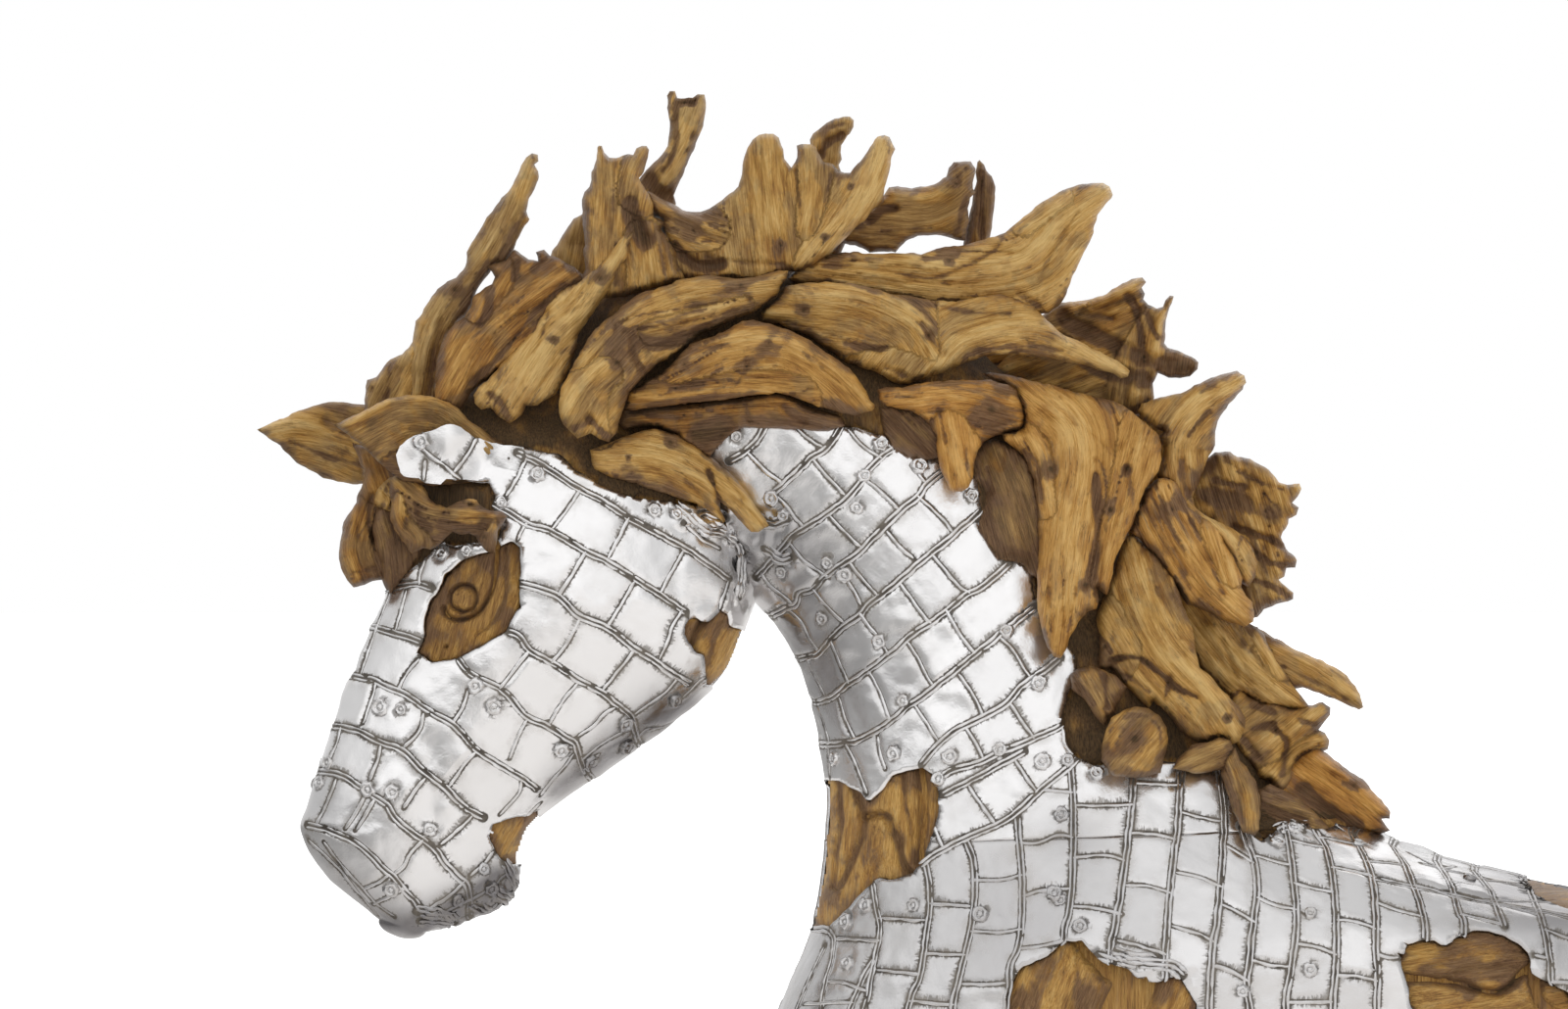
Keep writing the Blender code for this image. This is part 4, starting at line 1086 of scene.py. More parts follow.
def beadsAlong(runs, tracks, half, height, seed, wild=1.0):
    allPoints, allFaces, crowns, start = [], [], [], 0
    sides = beadShape["sides"]
    angles = np.linspace(-math.pi / 2, math.pi / 2, sides)
    for number, run in enumerate(runs):
        for points, normals in settled(spacedOut(run, beadShape["step"])):
            if len(points) > 4:
                points[1:-1] = (points[:-2] + 2 * points[1:-1] + points[2:]) / 4
            ahead = unit(np.gradient(points, axis=0))
            normals = unit(normals)
            across = unit(np.cross(ahead, normals))
            for track in tracks:
                places = points + across * track
                wobble = roughAt(places + seed, 13, seed + number, 2)
                beat = noiseAt(places * 1.0 + 7, 5.0, seed + 3)
                grow = np.maximum(1 + wild * (0.34 * wobble + 0.26 * beat), 0.25)
                taper = np.ones(len(points))
                taper[[0, -1]] = beadShape["end"]
                width = (half * grow * taper)[:, None, None]
                tall = (height * (grow + 0.2 * wild * beat) * taper)[:, None, None]
                places = places + across * (wild * (0.8 * wobble + 0.3 * beat))[:, None]
                ring = (places[:, None] + across[:, None] * width * np.sin(angles)[None, :, None]
                        + normals[:, None] * (tall * np.cos(angles)[None, :, None] - beadShape["sink"]))
                allPoints.append(ring.reshape(-1, 3))
                crowns.append(np.tile(np.cos(angles), len(points)))
                first = start + np.arange(len(points) - 1)[:, None] * sides + np.arange(sides - 1)[None]
                allFaces.append(np.stack([first, first + sides, first + sides + 1, first + 1], -1)
                                .reshape(-1, 4))
                start += len(points) * sides
    return np.concatenate(allPoints), np.concatenate(allFaces), np.concatenate(crowns)


def domesAt(spots, seed):
    # round welds with a raised rim and a dimple: rings round each place, from its foot to its middle
    points, faces, crowns = [], [], []
    sides = beadShape["domeSides"]
    turns = np.linspace(0, 2 * math.pi, sides, endpoint=False)
    for number, (place, normal, size) in enumerate(spots):
        side = unit(np.cross(normal, (0.31, 0.2, 0.93)))
        up = np.cross(normal, side)
        for ring, (reach, lift, crown) in enumerate(domeRings):
            base = place + normal * lift * size
            wave = 1 + 0.24 * lattice(np.stack([np.arange(sides) + number * 17, np.full(sides, ring),
                                                np.full(sides, seed)], -1), 2)
            first = len(points)
            points += list(base + (np.cos(turns) * wave)[:, None] * side * reach * size
                           + (np.sin(turns) * wave)[:, None] * up * reach * size)
            crowns += [crown] * sides
            for k in range(sides if ring else 0):
                j = (k + 1) % sides
                faces.append((first - sides + k, first - sides + j, first + j, first + k))
        faces += [(first, first + k, first + k + 1, first + k + 2) for k in range(1, sides - 2, 2)]
    return np.array(points), np.array(faces), np.array(crowns)


def beadPiece(part, pair, seed):
    doubles, singles = pair
    apart = beadShape["rowApart"]
    spots = []
    for place, size in blobPlaces[part]:
        place, normal, index, gap = skinSurface.find_nearest(Vector(place))
        if gap < beadShape["domeGap"]:
            spots.append((np.array(place), np.array(normal), size))
    made = [beadsAlong(doubles, (-apart, apart), beadShape["rowHalf"], beadShape["rowHeight"], seed),
            beadsAlong(singles, (0,), beadShape["crossHalf"], beadShape["crossHeight"], seed + 50),
            beadsAlong(ropes[part], beadShape["ropeTracks"], beadShape["ropeHalf"],
                       beadShape["ropeHeight"], seed + 90, beadShape["ropeWild"]),
            domesAt(spots, seed)]
    starts = np.cumsum([0] + [len(points) for points, faces, crowns in made])
    points = np.concatenate([points for points, faces, crowns in made])
    # the beads take the plates' tone, painted shade included, a little lower
    meshPiece(part + "Beads", points,
              np.concatenate([faces + start for (more, faces, crowns), start in zip(made, starts)]),
              "burnished_metal", beadMetal, crown=np.concatenate([crowns for more, faces, crowns in made]),
              plateTone=toneAndShadeAt(points, part, 0.5) * 0.9)


for part, seed in (("head", 3), ("neck", 11), ("trunk", 23)):
    beadPiece(part, seams[part], seed)


# the carved teak under the skin

# how far the core lies in under the skin, at the flat cut and where it is bare, as shares of the probe
core = {"probe": 20.0, "hiddenInset": 15.0, "openInset": 5.5, "bareInset": 7.0, "rows": 96, "near": 130,
        "far": 90, "headRows": 72, "clear": ((plainSkin, 6), (skinSurface, 5)), "most": 14,
        "floors": (0.7, 0.4, 0.12), "browShade": (-782, 618), "bareShade": 0.62}


def corePoints(form, rows, ends=None):
    turns = turnsRound(core["near"], core["far"])
    at = np.linspace(0, lastStation(form), rows)
    outer, inner = formGrid(form, at, turns, 0.0), formGrid(form, at, turns, core["probe"])
    if ends:
        outer, inner = rounded(outer, ends[0], 6), rounded(inner, ends[1], 6)
    points = outer.reshape(-1, 3)
    share = np.full(len(points), core["hiddenInset"] / core["probe"])
    bare = insideOutline(seen(points), maneOutline) | insideOutline(seen(points), outlines["brow"])
    share[bare] = core["bareInset"] / core["probe"]
    share[points[:, 2] < 8] = core["openInset"] / core["probe"]
    points = points + (inner.reshape(-1, 3) - points) * share[:, None]
    outward = unit(outer.reshape(-1, 3) - inner.reshape(-1, 3))
    points += outward * (4.0 * bare * roughAt(points * (0.5, 1, 0.8), 24, 4))[:, None]
    # nothing of it comes near the skin round a sharp bend
    for skin, least in core["clear"]:
        shallow = np.maximum(least - depthIn(points, skin), 0) * ~bare
        points -= outward * np.minimum(shallow, core["most"])[:, None]
    return points.reshape(outer.shape), bare


def corePiece():
    body, bareBody = corePoints(bodyForm, core["rows"])
    body = np.concatenate([body, body[-1:] * 0.5 + body[-1].mean(axis=0) * 0.5])
    bareBody = np.concatenate([bareBody, bareBody[-body.shape[1]:]])
    head, bareHead = corePoints(headForm, core["headRows"], (8, 2))
    faces = [gridFaces(body), gridFaces(head) + body.shape[0] * body.shape[1]]
    points = np.concatenate([body.reshape(-1, 3), head.reshape(-1, 3)])
    # the flat cut, closed with rings towards its middle
    ring, start, columns = body[0], len(points), body.shape[1]
    floors = [ring * share + ring.mean(axis=0) * (1 - share) for share in core["floors"]]
    for k, floor in enumerate(floors):
        floor[:, 2] = 0
        outer = np.arange(columns) if k == 0 else start + (k - 1) * columns + np.arange(columns)
        inner = start + k * columns + np.arange(columns)
        faces.append(np.stack([outer, np.roll(outer, -1), np.roll(inner, -1), inner], -1))
    points = np.concatenate([points, *floors])
    middle = start + (len(floors) - 1) * columns
    faces.append(np.array([(middle, middle + k, middle + k + 1, middle + k + 2)
                           for k in range(1, columns - 2, 2)]))
    # painted shade: the bare core between the roots darker, darker still in the recess under the brow, and
    # some all over; the stain follows it
    hollow = np.zeros(len(points))
    hollow[:len(bareBody) + len(bareHead)] = np.concatenate([bareBody, bareHead]) * core["bareShade"]
    toBrow = np.linalg.norm(points[:, (0, 2)] - core["browShade"], axis=1)
    hollow = np.maximum(hollow, 0.95 * eased(toBrow, 44, 24))
    hollow *= 1 + 0.9 * roughAt(points * (0.6, 1, 0.6), 22, 6, 2)
    grain = points * (0.9, 1.0, 0.5)
    piece = meshPiece("teakCore", points, np.concatenate(faces), "teak", carvedTeak,
                      grain=grain[:, [2, 0, 1]], tint=np.full(len(points), 0.4), hollow=hollow + 0.2,
                      stained=hollow + 0.1, ruddy=np.zeros(len(points)))
    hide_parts("teak_body")


corePiece()

# What shows in each opening: how deep it lies under the skin, which way its grain runs (degrees from
# level), its tint, and what is carved or worn there: grooves (line, half width, depth), swells
# (x, z, reach, rise), holes and stains (x, z, reach).
carvings = {
    "eye": {"depth": 9, "grain": 75, "tint": 0.42, "soft": 1.5, "grooves": (((-745, 562, -746, 538, -749, 520,
        -756, 504, -767, 492, -782, 487, -794, 490, -799, 500), 2.6, 10), ((-736, 560, -735, 530, -737, 505,
        -748, 484, -764, 472), 2.0, 3), ((-779, 495, -790, 501, -792, 511, -787, 520, -778, 523, -769, 519,
        -765, 509, -769, 499, -779, 495), 2.2, 9)), "swells": ((-779, 509, 9, 4), (-778, 508, 24, 6),
        (-728, 520, 12, 5), (-770, 470, 26, 4)), "holes": ((-796, 460, 1.8),), "stains": ((-800, 470, 14),
        (-735, 490, 12), (-805, 510, 10), (-752, 545, 12))},
    "cheek": {"depth": 6, "grain": 62, "tint": 0.62, "grooves": (((-524, 494, -534, 480, -540, 468,
        -544, 452), 2.6, 10), ((-512, 488, -520, 468, -524, 440), 1.4, 2)), "swells": ((-518, 474, 14, 5),
        (-546, 472, 7, 3), (-514, 446, 12, 3)), "holes": (), "stains": ((-547, 474, 12),)},
    "chin": {"depth": 5, "grain": 60, "tint": 0.66, "grooves": (), "swells": ((-722, 266, 18, 2),),
        "holes": ()},
    "chest": {"depth": 8, "grain": 86, "tint": 0.55, "grooves": (((-398, 322, -396, 280, -400, 250,
        -404, 215), 1.6, 5), ((-383, 318, -372, 290, -372, 268, -385, 240, -398, 215), 2.6, 7), ((-372, 286,
        -350, 287, -338, 270, -330, 240, -318, 224), 2.4, 8), ((-312, 334, -310, 300, -312, 262, -312, 240),
        3.0, 12), ((-330, 330, -327, 300, -322, 268, -318, 240), 1.4, 3)), "swells": ((-352, 258, 26, 9),
        (-342, 305, 20, 5), (-408, 260, 14, 4), (-398, 190, 26, 6)), "holes": (), "stains": ((-356, 245, 15),
        (-322, 236, 14), (-343, 290, 8), (-314, 322, 10), (-366, 315, 10), (-400, 205, 14), (-334, 262, 9))},
    "shoulder": {"depth": 10, "grain": 70, "tint": 0.56, "grooves": (((-138, 166, -122, 142, -112, 136), 9,
        34), ((-88, 134, -92, 112, -100, 96, -112, 70, -120, 40), 11, 40), ((-152, 150, -150, 120, -158, 90),
        2.0, 3)), "swells": ((-168, 112, 40, 10), (-52, 92, 30, 9)), "holes": (), "stains": ((-180, 128, 16),
        (-140, 100, 14), (-205, 100, 12), (-60, 108, 14), (-30, 90, 10))},
    "barrel": {"depth": 9, "grain": 8, "tint": 0.5, "grooves": (((186, 121, 215, 119, 240, 116, 272, 106,
        290, 112, 305, 126, 316, 132), 3.0, 14), ((226, 122, 250, 132, 300, 136), 2.0, 4),
        ((318, 126, 322, 100, 336, 84), 4, 16)), "swells": ((262, 146, 30, 7), (225, 100, 34, 9),
        (300, 112, 16, 7), (285, 100, 22, 6)), "holes": (), "stains": ((240, 140, 22), (290, 135, 20),
        (205, 128, 12), (310, 100, 12), (250, 105, 8))},
    "backBand": {"depth": 5, "grain": 2, "tint": 0.6, "grooves": (((300, 217, 360, 214, 420, 205), 1.6, 3),),
        "swells": (), "holes": ()},
    "rightEye": {"depth": 9, "grain": 75, "tint": 0.45, "grooves": (), "swells": ((-775, 506, 24, 6),),
        "holes": ()},
    "rightFlank": {"depth": 9, "grain": 80, "tint": 0.52, "grooves": (((0, 158, 6, 110, 0, 50), 3, 12),),
        "swells": ((-40, 100, 30, 6), (44, 110, 30, 6)), "holes": ()},
}
insert = {"step": 1.9, "margin": 14, "under": 9, "far": 42, "bandLow": (280, 170), "bandHigh": (480, 240),
          "holeDepth": 8, "least": 2.5}


def carvedInsert(name, outline, side, spec):
    low, high = outline.min(axis=0) - insert["margin"], outline.max(axis=0) + insert["margin"]
    if name == "backBand":
        low, high = np.maximum(low, insert["bandLow"]), np.minimum(high, insert["bandHigh"])
    grid = placesIn(low, high, insert["step"], insert["step"])
    flat = grid.reshape(-1, 2)
    count = len(flat)
    gap = nearestOnOutline(flat, outline)[0]
    inside = insideOutline(flat, outline)
    deep = np.full(count, float(spec["depth"]))
    deep += np.where(inside, 0, 3 + gap * 0.9)
    # painted shade near the opening's edge and under the skin, then in grooves and holes
    dark = np.where(inside, eased(gap, 6, 0) * 0.4, 0.8)
    seep = np.zeros(count)
    for line, half, down in spec["grooves"]:
        near = nearestOnOutline(flat + 1.2 * noiseAt(upright(flat), 13, 6)[:, None],
                                curvedLine(line, 8), False)[0]
        deep += down * eased(near, half * spec.get("soft", 2.6), 0)
        dark = np.maximum(dark, eased(near, half * 1.5, 0) * min(0.2 + down / 20, 0.9))
        seep = np.maximum(seep, 0.45 * eased(near, half * 3.4, 0))
    for x, z, reach, rise in spec["swells"]:
        deep -= rise * fading(flat, x, z, reach)
    for x, z, reach in spec.get("holes", ()):
        near = np.linalg.norm(flat - (x, z), axis=1)
        deep += insert["holeDepth"] * eased(near, reach * 1.4, reach * 0.5)
        dark = np.maximum(dark, eased(near, reach * 1.5, reach * 0.6))
    lean = math.radians(spec["grain"])
    turn = np.array(((math.cos(lean), math.sin(lean)), (-math.sin(lean), math.cos(lean))))
    along = flat @ turn.T
    chip = np.stack([along[:, 0] * 0.22, along[:, 1], np.full(count, len(name) * 9.0)], 1)
    deep += 1.7 * roughAt(chip, 13, 3) + 0.5 * roughAt(chip, 4, 8, 2)
    points, keep = np.zeros((count, 3)), np.zeros(count, bool)
    for k in np.flatnonzero(inside | (gap < insert["under"])):
        place, normal = onSkin(*flat[k], side)
        if place is None:
            continue
        inward = np.array(normal) * (1 - 0.5 * abs(normal.y)) + np.array((0, side * 0.5, 0))
        sunk = max(deep[k] * (0.45 + 0.55 * abs(normal.y)), insert["least"])
        points[k] = np.array(place) - inward / max(np.linalg.norm(inward), 0.2) * sunk
        keep[k] = True
    index = np.arange(count).reshape(grid.shape[:2])
    quads = np.stack([index[:-1, :-1], index[1:, :-1], index[1:, 1:], index[:-1, 1:]], -1).reshape(-1, 4)
    quads = quads[keep[quads].all(axis=1)]
    reach = np.linalg.norm(points[quads[:, 0]] - points[quads[:, 2]], axis=1)
    quads = quads[reach < insert["far"]]
    used, quads = usedOnly(quads[:, ::-1] if side > 0 else quads, count)
    grain = np.stack([along[:, 0], along[:, 1], deep], 1)[used] + len(name) * 37.0
    tint = np.clip(spec["tint"] + 0.25 * roughAt(chip, 30, 12, 2), 0, 1)
    # stains, with the painted shade of grooves, holes and the opening's edge added
    stained = 0.12 + 0.4 * dark + seep + 0.35 * eased(gap, 14, 0) + 0.5 * roughAt(chip, 24, 14, 2)
    for x, z, reach in spec.get("stains", ()):
        stained += 0.8 * fading(flat, x, z, reach)
    meshPiece(name + "Teak", points[used], quads, "teak", carvedTeak, grain=grain, tint=tint[used],
              hollow=np.clip(dark[used], 0, 1), stained=stained[used], ruddy=np.zeros(len(used)))


for name, outline in outlines.items():
    if name in carvings:
        carvedInsert(name, outline, -1, carvings[name])
for name, outline in rightOutlines.items():
    carvedInsert(name, outline, 1, carvings[name])
print("openings carved")


# the roots of the mane, the ears and the forelock

# Each root as it is seen from the left: its outline, then crests and grooves as (line, half width,
# height or depth), and knots as (x, z, reach). The grain follows the crests. A tuck (x, z, reach,
# depth) draws a place in towards the body. Tint runs from dark to light, ruddy from grey to red.
rootForms = {
    "left_ear": {"outline": (-910, 686, -894, 693, -880, 700, -865, 708, -850, 714, -835, 716, -820, 716,
        -805, 714, -792, 709, -782, 702, -772, 692, -760, 683, -748, 674, -738, 668, -745, 640, -766, 628,
        -782, 624, -804, 624, -822, 625, -840, 630, -850, 637, -862, 647, -874, 658, -884, 668, -894, 676),
        "crests": (((-894, 690, -850, 712, -820, 715, -792, 708, -755, 680), 5, 5),
        ((-838, 630, -800, 628, -770, 627), 5, 3)), "grooves": (((-872, 688, -850, 694, -825, 692, -800, 696),
        7, 3), ((-846, 672, -850, 655, -846, 636), 8, 4)), "tuck": (-795, 655, 46, 15), "tint": 0.62},
    "right_ear": {"outline": (-988, 682, -975, 687, -960, 694, -945, 701, -930, 706, -915, 709, -900, 709,
        -885, 708, -875, 707, -870, 695, -875, 680, -878, 660, -876, 640, -877, 626, -890, 626, -905, 629,
        -920, 632, -935, 640, -950, 651, -965, 665, -978, 675), "crests": (((-982, 682, -950, 688, -910, 680,
        -878, 668), 5, 4),), "grooves": (((-918, 690, -900, 680, -876, 686), 6, 4),
        ((-954, 670, -915, 654, -878, 644), 3, 3)), "tint": 0.43},
    "ear_block_root": {"outline": (-878, 708, -877, 725, -875, 732, -865, 736, -858, 747, -852, 754,
        -840, 759, -832, 766, -826, 775, -820, 768, -820, 748, -818, 728, -814, 700, -830, 680, -865, 680,
        -880, 695), "grooves": (((-852, 748, -855, 710), 2, 3),), "tint": 0.42, "ruddy": -0.4},
    "spike_front_root": {"outline": (-713, 959, -707, 963, -701, 961, -700, 955, -704, 951, -700, 946,
        -700, 940, -703, 932, -710, 918, -712, 905, -710, 896, -718, 882, -724, 870, -728, 858, -734, 852,
        -746, 848, -753, 838, -760, 830, -766, 818, -769, 806, -774, 798, -782, 792, -792, 780, -799, 768,
        -801, 756, -803, 742, -804, 728, -804, 712, -804, 695, -835, 690, -840, 700, -834, 716, -832, 735,
        -831, 755, -830, 765, -828, 780, -825, 792, -817, 805, -810, 817, -803, 825, -792, 832, -784, 837,
        -775, 848, -773, 862, -768, 872, -760, 885, -753, 898, -745, 908, -738, 918, -728, 928, -722, 940,
        -718, 951), "crests": (((-710, 955, -730, 905, -755, 860, -795, 810, -815, 770, -825, 710), 8, 4),),
        "grooves": (((-738, 885, -755, 850, -780, 808), 2, 3), ((-800, 790, -810, 748, -814, 715), 4, 4)),
        "knots": ((-786, 824, 7),), "tint": 0.68, "ruddy": -0.6},
    "notched_root": {"outline": (-761, 822, -755, 827, -748, 830, -745, 837, -748, 843, -753, 848, -742, 853,
        -734, 855, -729, 861, -725, 866, -718, 860, -710, 854, -701, 853, -703, 862, -694, 865, -688, 859,
        -684, 858, -672, 852, -660, 844, -652, 835, -665, 825, -679, 812, -690, 796, -702, 774, -716, 758,
        -735, 746, -747, 736, -758, 729, -766, 722, -772, 714, -780, 705, -788, 700, -796, 702, -804, 705,
        -806, 720, -806, 735, -805, 748, -803, 758, -800, 769, -793, 781, -786, 790, -776, 796, -770, 806,
        -768, 817), "crests": (((-675, 840, -715, 812, -755, 775, -785, 725), 9, 4), ((-738, 830, -758, 798),
        5, 3)), "grooves": (((-750, 824, -753, 802, -760, 790), 4, 6), ((-722, 852, -726, 836), 3, 5),
        ((-675, 830, -705, 800, -735, 762, -770, 728), 3, 5), ((-700, 852, -705, 845), 4, 5)), "tint": 0.33,
        "ruddy": 0.3},
    "bright_root": {"outline": (-658, 833, -647, 843, -638, 852, -628, 862, -618, 875, -609, 883, -603, 884,
        -608, 870, -610, 858, -616, 850, -622, 842, -623, 832, -628, 822, -637, 812, -644, 802, -652, 790,
        -660, 778, -662, 765, -666, 752, -671, 740, -677, 728, -683, 718, -692, 712, -702, 707, -713, 705,
        -718, 696, -730, 688, -740, 694, -750, 704, -760, 701, -766, 708, -767, 717, -762, 725, -753, 732,
        -746, 740, -736, 751, -725, 762, -715, 772, -704, 785, -697, 798, -690, 810, -680, 820, -670, 828),
        "crests": (((-610, 875, -650, 810, -690, 768, -730, 708), 10, 5),), "grooves":
        (((-690, 802, -698, 775, -705, 760), 2, 3), ((-646, 780, -665, 758, -690, 720), 2, 2),
        ((-750, 718, -738, 708, -730, 695), 4, 4)), "knots": ((-684, 773, 8), (-638, 836, 9)), "tint": 0.9},
    "flat_back_root": {"outline": (-652, 904, -660, 900, -668, 892, -676, 880, -681, 870, -688, 860,
        -694, 850, -684, 830, -660, 820, -645, 830, -642, 860, -646, 890), "tint": 0.42, "ruddy": -0.6},
    "horned_block_root": {"outline": (-641, 970, -639, 972, -636, 971, -633, 964, -628, 959, -622, 958,
        -615, 962, -609, 963, -604, 962, -600, 968, -595, 971, -590, 971, -588, 967, -590, 955, -593, 945,
        -598, 938, -593, 930, -588, 922, -582, 912, -582, 898, -572, 894, -576, 886, -568, 878, -562, 865,
        -556, 848, -551, 834, -570, 828, -590, 823, -610, 818, -630, 815, -650, 820, -658, 830, -653, 845,
        -654, 865, -654, 880, -656, 892, -655, 905, -656, 915, -654, 924, -649, 930, -647, 940, -644, 948,
        -642, 958), "crests": (((-638, 965, -638, 920, -642, 850), 8, 4), ((-595, 967, -605, 945, -610, 922),
        6, 3), ((-602, 878, -598, 852, -595, 828), 9, 3)), "grooves": (((-608, 912, -603, 892, -592, 874), 9,
        9), ((-604, 905, -598, 888, -591, 876), 4, 4), ((-623, 952, -624, 905), 2, 3),
        ((-578, 870, -572, 840), 2, 3), ((-618, 868, -622, 830), 2, 3)), "tint": 0.54},
    "antler_root": {"outline": (-569, 1023, -566, 1030, -561, 1027, -559, 1020, -543, 1020, -539, 1024,
        -532, 1023, -530, 1016, -530, 1005, -533, 992, -538, 978, -544, 963, -550, 948, -557, 933, -562, 920,
        -560, 895, -570, 870, -610, 880, -610, 920, -598, 936, -590, 946, -582, 954, -574, 962, -569, 970,
        -567, 980, -566, 995, -569, 1010), "crests": (((-538, 1008, -552, 970, -574, 932), 7, 4),),
        "grooves": (((-556, 1016, -544, 1016), 5, 9), ((-560, 1008, -560, 970, -574, 944), 3, 4),
        ((-586, 936, -578, 924, -568, 920), 9, 6)), "tint": 0.82, "ruddy": -0.5},
    "three_pronged_root": {"outline": (-590, 925, -582, 921, -572, 916, -562, 911, -553, 906, -545, 904,
        -535, 904, -526, 908, -518, 913, -509, 919, -502, 925, -496, 930, -493, 942, -491, 955, -488, 968,
        -482, 978, -476, 982, -470, 983, -462, 983, -456, 980, -453, 972, -450, 962, -447, 954, -442, 949,
        -438, 955, -436, 965, -437, 971, -432, 973, -422, 973, -416, 970, -414, 962, -410, 955, -400, 952,
        -394, 945, -388, 943, -382, 944, -375, 952, -367, 962, -360, 973, -354, 981, -347, 983, -342, 980,
        -339, 973, -337, 968, -340, 960, -342, 948, -344, 938, -347, 928, -349, 920, -348, 914, -357, 907,
        -365, 899, -373, 891, -380, 884, -388, 876, -395, 869, -402, 862, -410, 856, -420, 848, -430, 843,
        -445, 843, -455, 839, -465, 834, -480, 830, -500, 832, -520, 834, -535, 833, -550, 833, -560, 837,
        -567, 850, -570, 862, -566, 870, -572, 880, -576, 886, -580, 891, -574, 896, -582, 898, -587, 905,
        -590, 915), "crests": (((-470, 980, -468, 940, -462, 890), 13, 6), ((-350, 975, -365, 935, -388, 895,
        -415, 858), 14, 7), ((-424, 968, -422, 930, -428, 890), 7, 4), ((-580, 914, -550, 898, -520, 888), 7,
        4)), "grooves": (((-562, 868, -550, 856, -534, 848, -512, 850), 6, 9), ((-500, 915, -502, 870), 1.5,
        2), ((-438, 945, -435, 920, -432, 898), 2, 3.5), ((-444, 948, -450, 924), 1.5, 2.5),
        ((-402, 942, -408, 915), 2, 3), ((-490, 920, -480, 880, -480, 858), 1.5, 2.5),
        ((-370, 920, -390, 892), 2, 3), ((-585, 905, -578, 892, -560, 884), 2, 4),
        ((-530, 858, -490, 852, -450, 850), 2, 3)), "knots": ((-453, 870, 6), (-408, 877, 6), (-382, 930, 4),
        (-542, 884, 5)), "tint": 0.58},
    "knob_root": {"outline": (-422, 970, -423, 978, -420, 984, -414, 988, -407, 994, -398, 999, -390, 1001,
        -382, 1001, -379, 997, -379, 990, -382, 984, -388, 978, -392, 972, -393, 965, -391, 958, -394, 952,
        -386, 935, -383, 905, -384, 880, -394, 858, -412, 856, -425, 872, -428, 900, -425, 930, -422, 950),
        "grooves": (((-412, 962, -404, 974, -392, 982), 4, 6), ((-402, 990, -388, 994), 2, 3)), "tint": 0.84,
        "ruddy": -0.5},
    "crossbar_root": {"outline": (-354, 914, -348, 922, -344, 928, -335, 929, -320, 928, -305, 930, -292, 934,
        -284, 940, -282, 948, -276, 954, -266, 955, -260, 956, -255, 948, -256, 938, -257, 928, -255, 923,
        -260, 918, -262, 908, -262, 895, -264, 882, -265, 874, -274, 875, -282, 878, -295, 879, -307, 880,
        -318, 878, -326, 874, -332, 868, -336, 863, -350, 863, -362, 863, -370, 866, -382, 870, -395, 874,
        -388, 888, -374, 898, -360, 908), "crests": (((-345, 920, -300, 920, -265, 944), 9, 4),), "grooves":
        (((-362, 896, -350, 904, -338, 907), 5, 7), ((-264, 920, -274, 884), 3, 4), ((-350, 884, -300, 888),
        2, 3), ((-275, 950, -270, 925), 2, 3)), "knots": ((-274, 932, 5),), "tint": 0.42, "ruddy": -0.3},
    "dark_splinter_root": {"outline": (-253, 954, -250, 956, -246, 952, -244, 946, -238, 940, -235, 930,
        -234, 918, -236, 905, -238, 892, -240, 880, -242, 868, -244, 845, -250, 828, -262, 826, -268, 845,
        -266, 880, -262, 895, -259, 910, -257, 922, -254, 930, -254, 944),
        "grooves": (((-250, 945, -249, 880), 3, 5),), "tint": 0.24},
    "long_blade_root": {"outline": (-428, 852, -415, 858, -400, 860, -388, 863, -370, 862, -350, 861,
        -330, 862, -310, 861, -300, 864, -285, 868, -265, 870, -250, 874, -235, 878, -225, 882, -212, 892,
        -202, 902, -190, 912, -178, 920, -165, 926, -150, 931, -135, 933, -125, 933, -118, 930, -114, 922,
        -118, 915, -124, 908, -130, 900, -134, 890, -135, 882, -138, 872, -144, 862, -150, 850, -156, 840,
        -159, 830, -162, 820, -170, 808, -180, 800, -200, 798, -220, 804, -240, 808, -270, 808, -300, 806,
        -325, 812, -350, 818, -370, 822, -390, 824, -410, 828, -435, 830, -447, 836), "crests": (((-125, 925,
        -165, 898, -205, 858, -265, 848, -320, 852), 13, 6), ((-160, 915, -200, 888), 5, 3)),
        "grooves": (((-410, 848, -350, 844, -300, 836, -245, 858, -230, 870), 3, 4.5),
        ((-305, 854, -275, 862), 4, 4), ((-325, 832, -260, 832, -200, 848), 2, 2.5),
        ((-150, 905, -172, 870, -190, 835), 2, 3), ((-210, 820, -190, 808), 3, 4), ((-380, 854, -345, 854), 2,
        3)), "knots": ((-282, 854, 9),), "tint": 0.66},
    "broad_plate_root": {"outline": (-474, 802, -468, 808, -460, 814, -453, 822, -447, 828, -435, 830,
        -420, 832, -400, 832, -380, 831, -360, 826, -340, 820, -320, 818, -300, 814, -275, 812, -250, 817,
        -230, 820, -210, 814, -195, 807, -187, 798, -175, 787, -165, 778, -150, 772, -135, 764, -120, 757,
        -108, 750, -98, 742, -100, 735, -107, 733, -117, 740, -130, 743, -145, 748, -165, 752, -190, 755,
        -210, 758, -230, 758, -245, 756, -258, 752, -272, 746, -285, 740, -298, 736, -310, 732, -322, 728,
        -335, 728, -345, 733, -357, 740, -370, 745, -378, 748, -388, 752, -400, 760, -412, 768, -425, 776,
        -440, 783, -455, 789, -472, 791), "crests": (((-290, 746, -265, 772, -200, 785, -150, 768, -105, 742),
        8, 5), ((-435, 822, -370, 815, -320, 792, -295, 758), 10, 4)), "grooves":
        (((-450, 792, -390, 775, -350, 762), 1.5, 2.5), ((-388, 770, -365, 764, -345, 764), 3, 5),
        ((-310, 790, -300, 775, -288, 758), 4, 4), ((-255, 762, -210, 768, -165, 762), 2, 3),
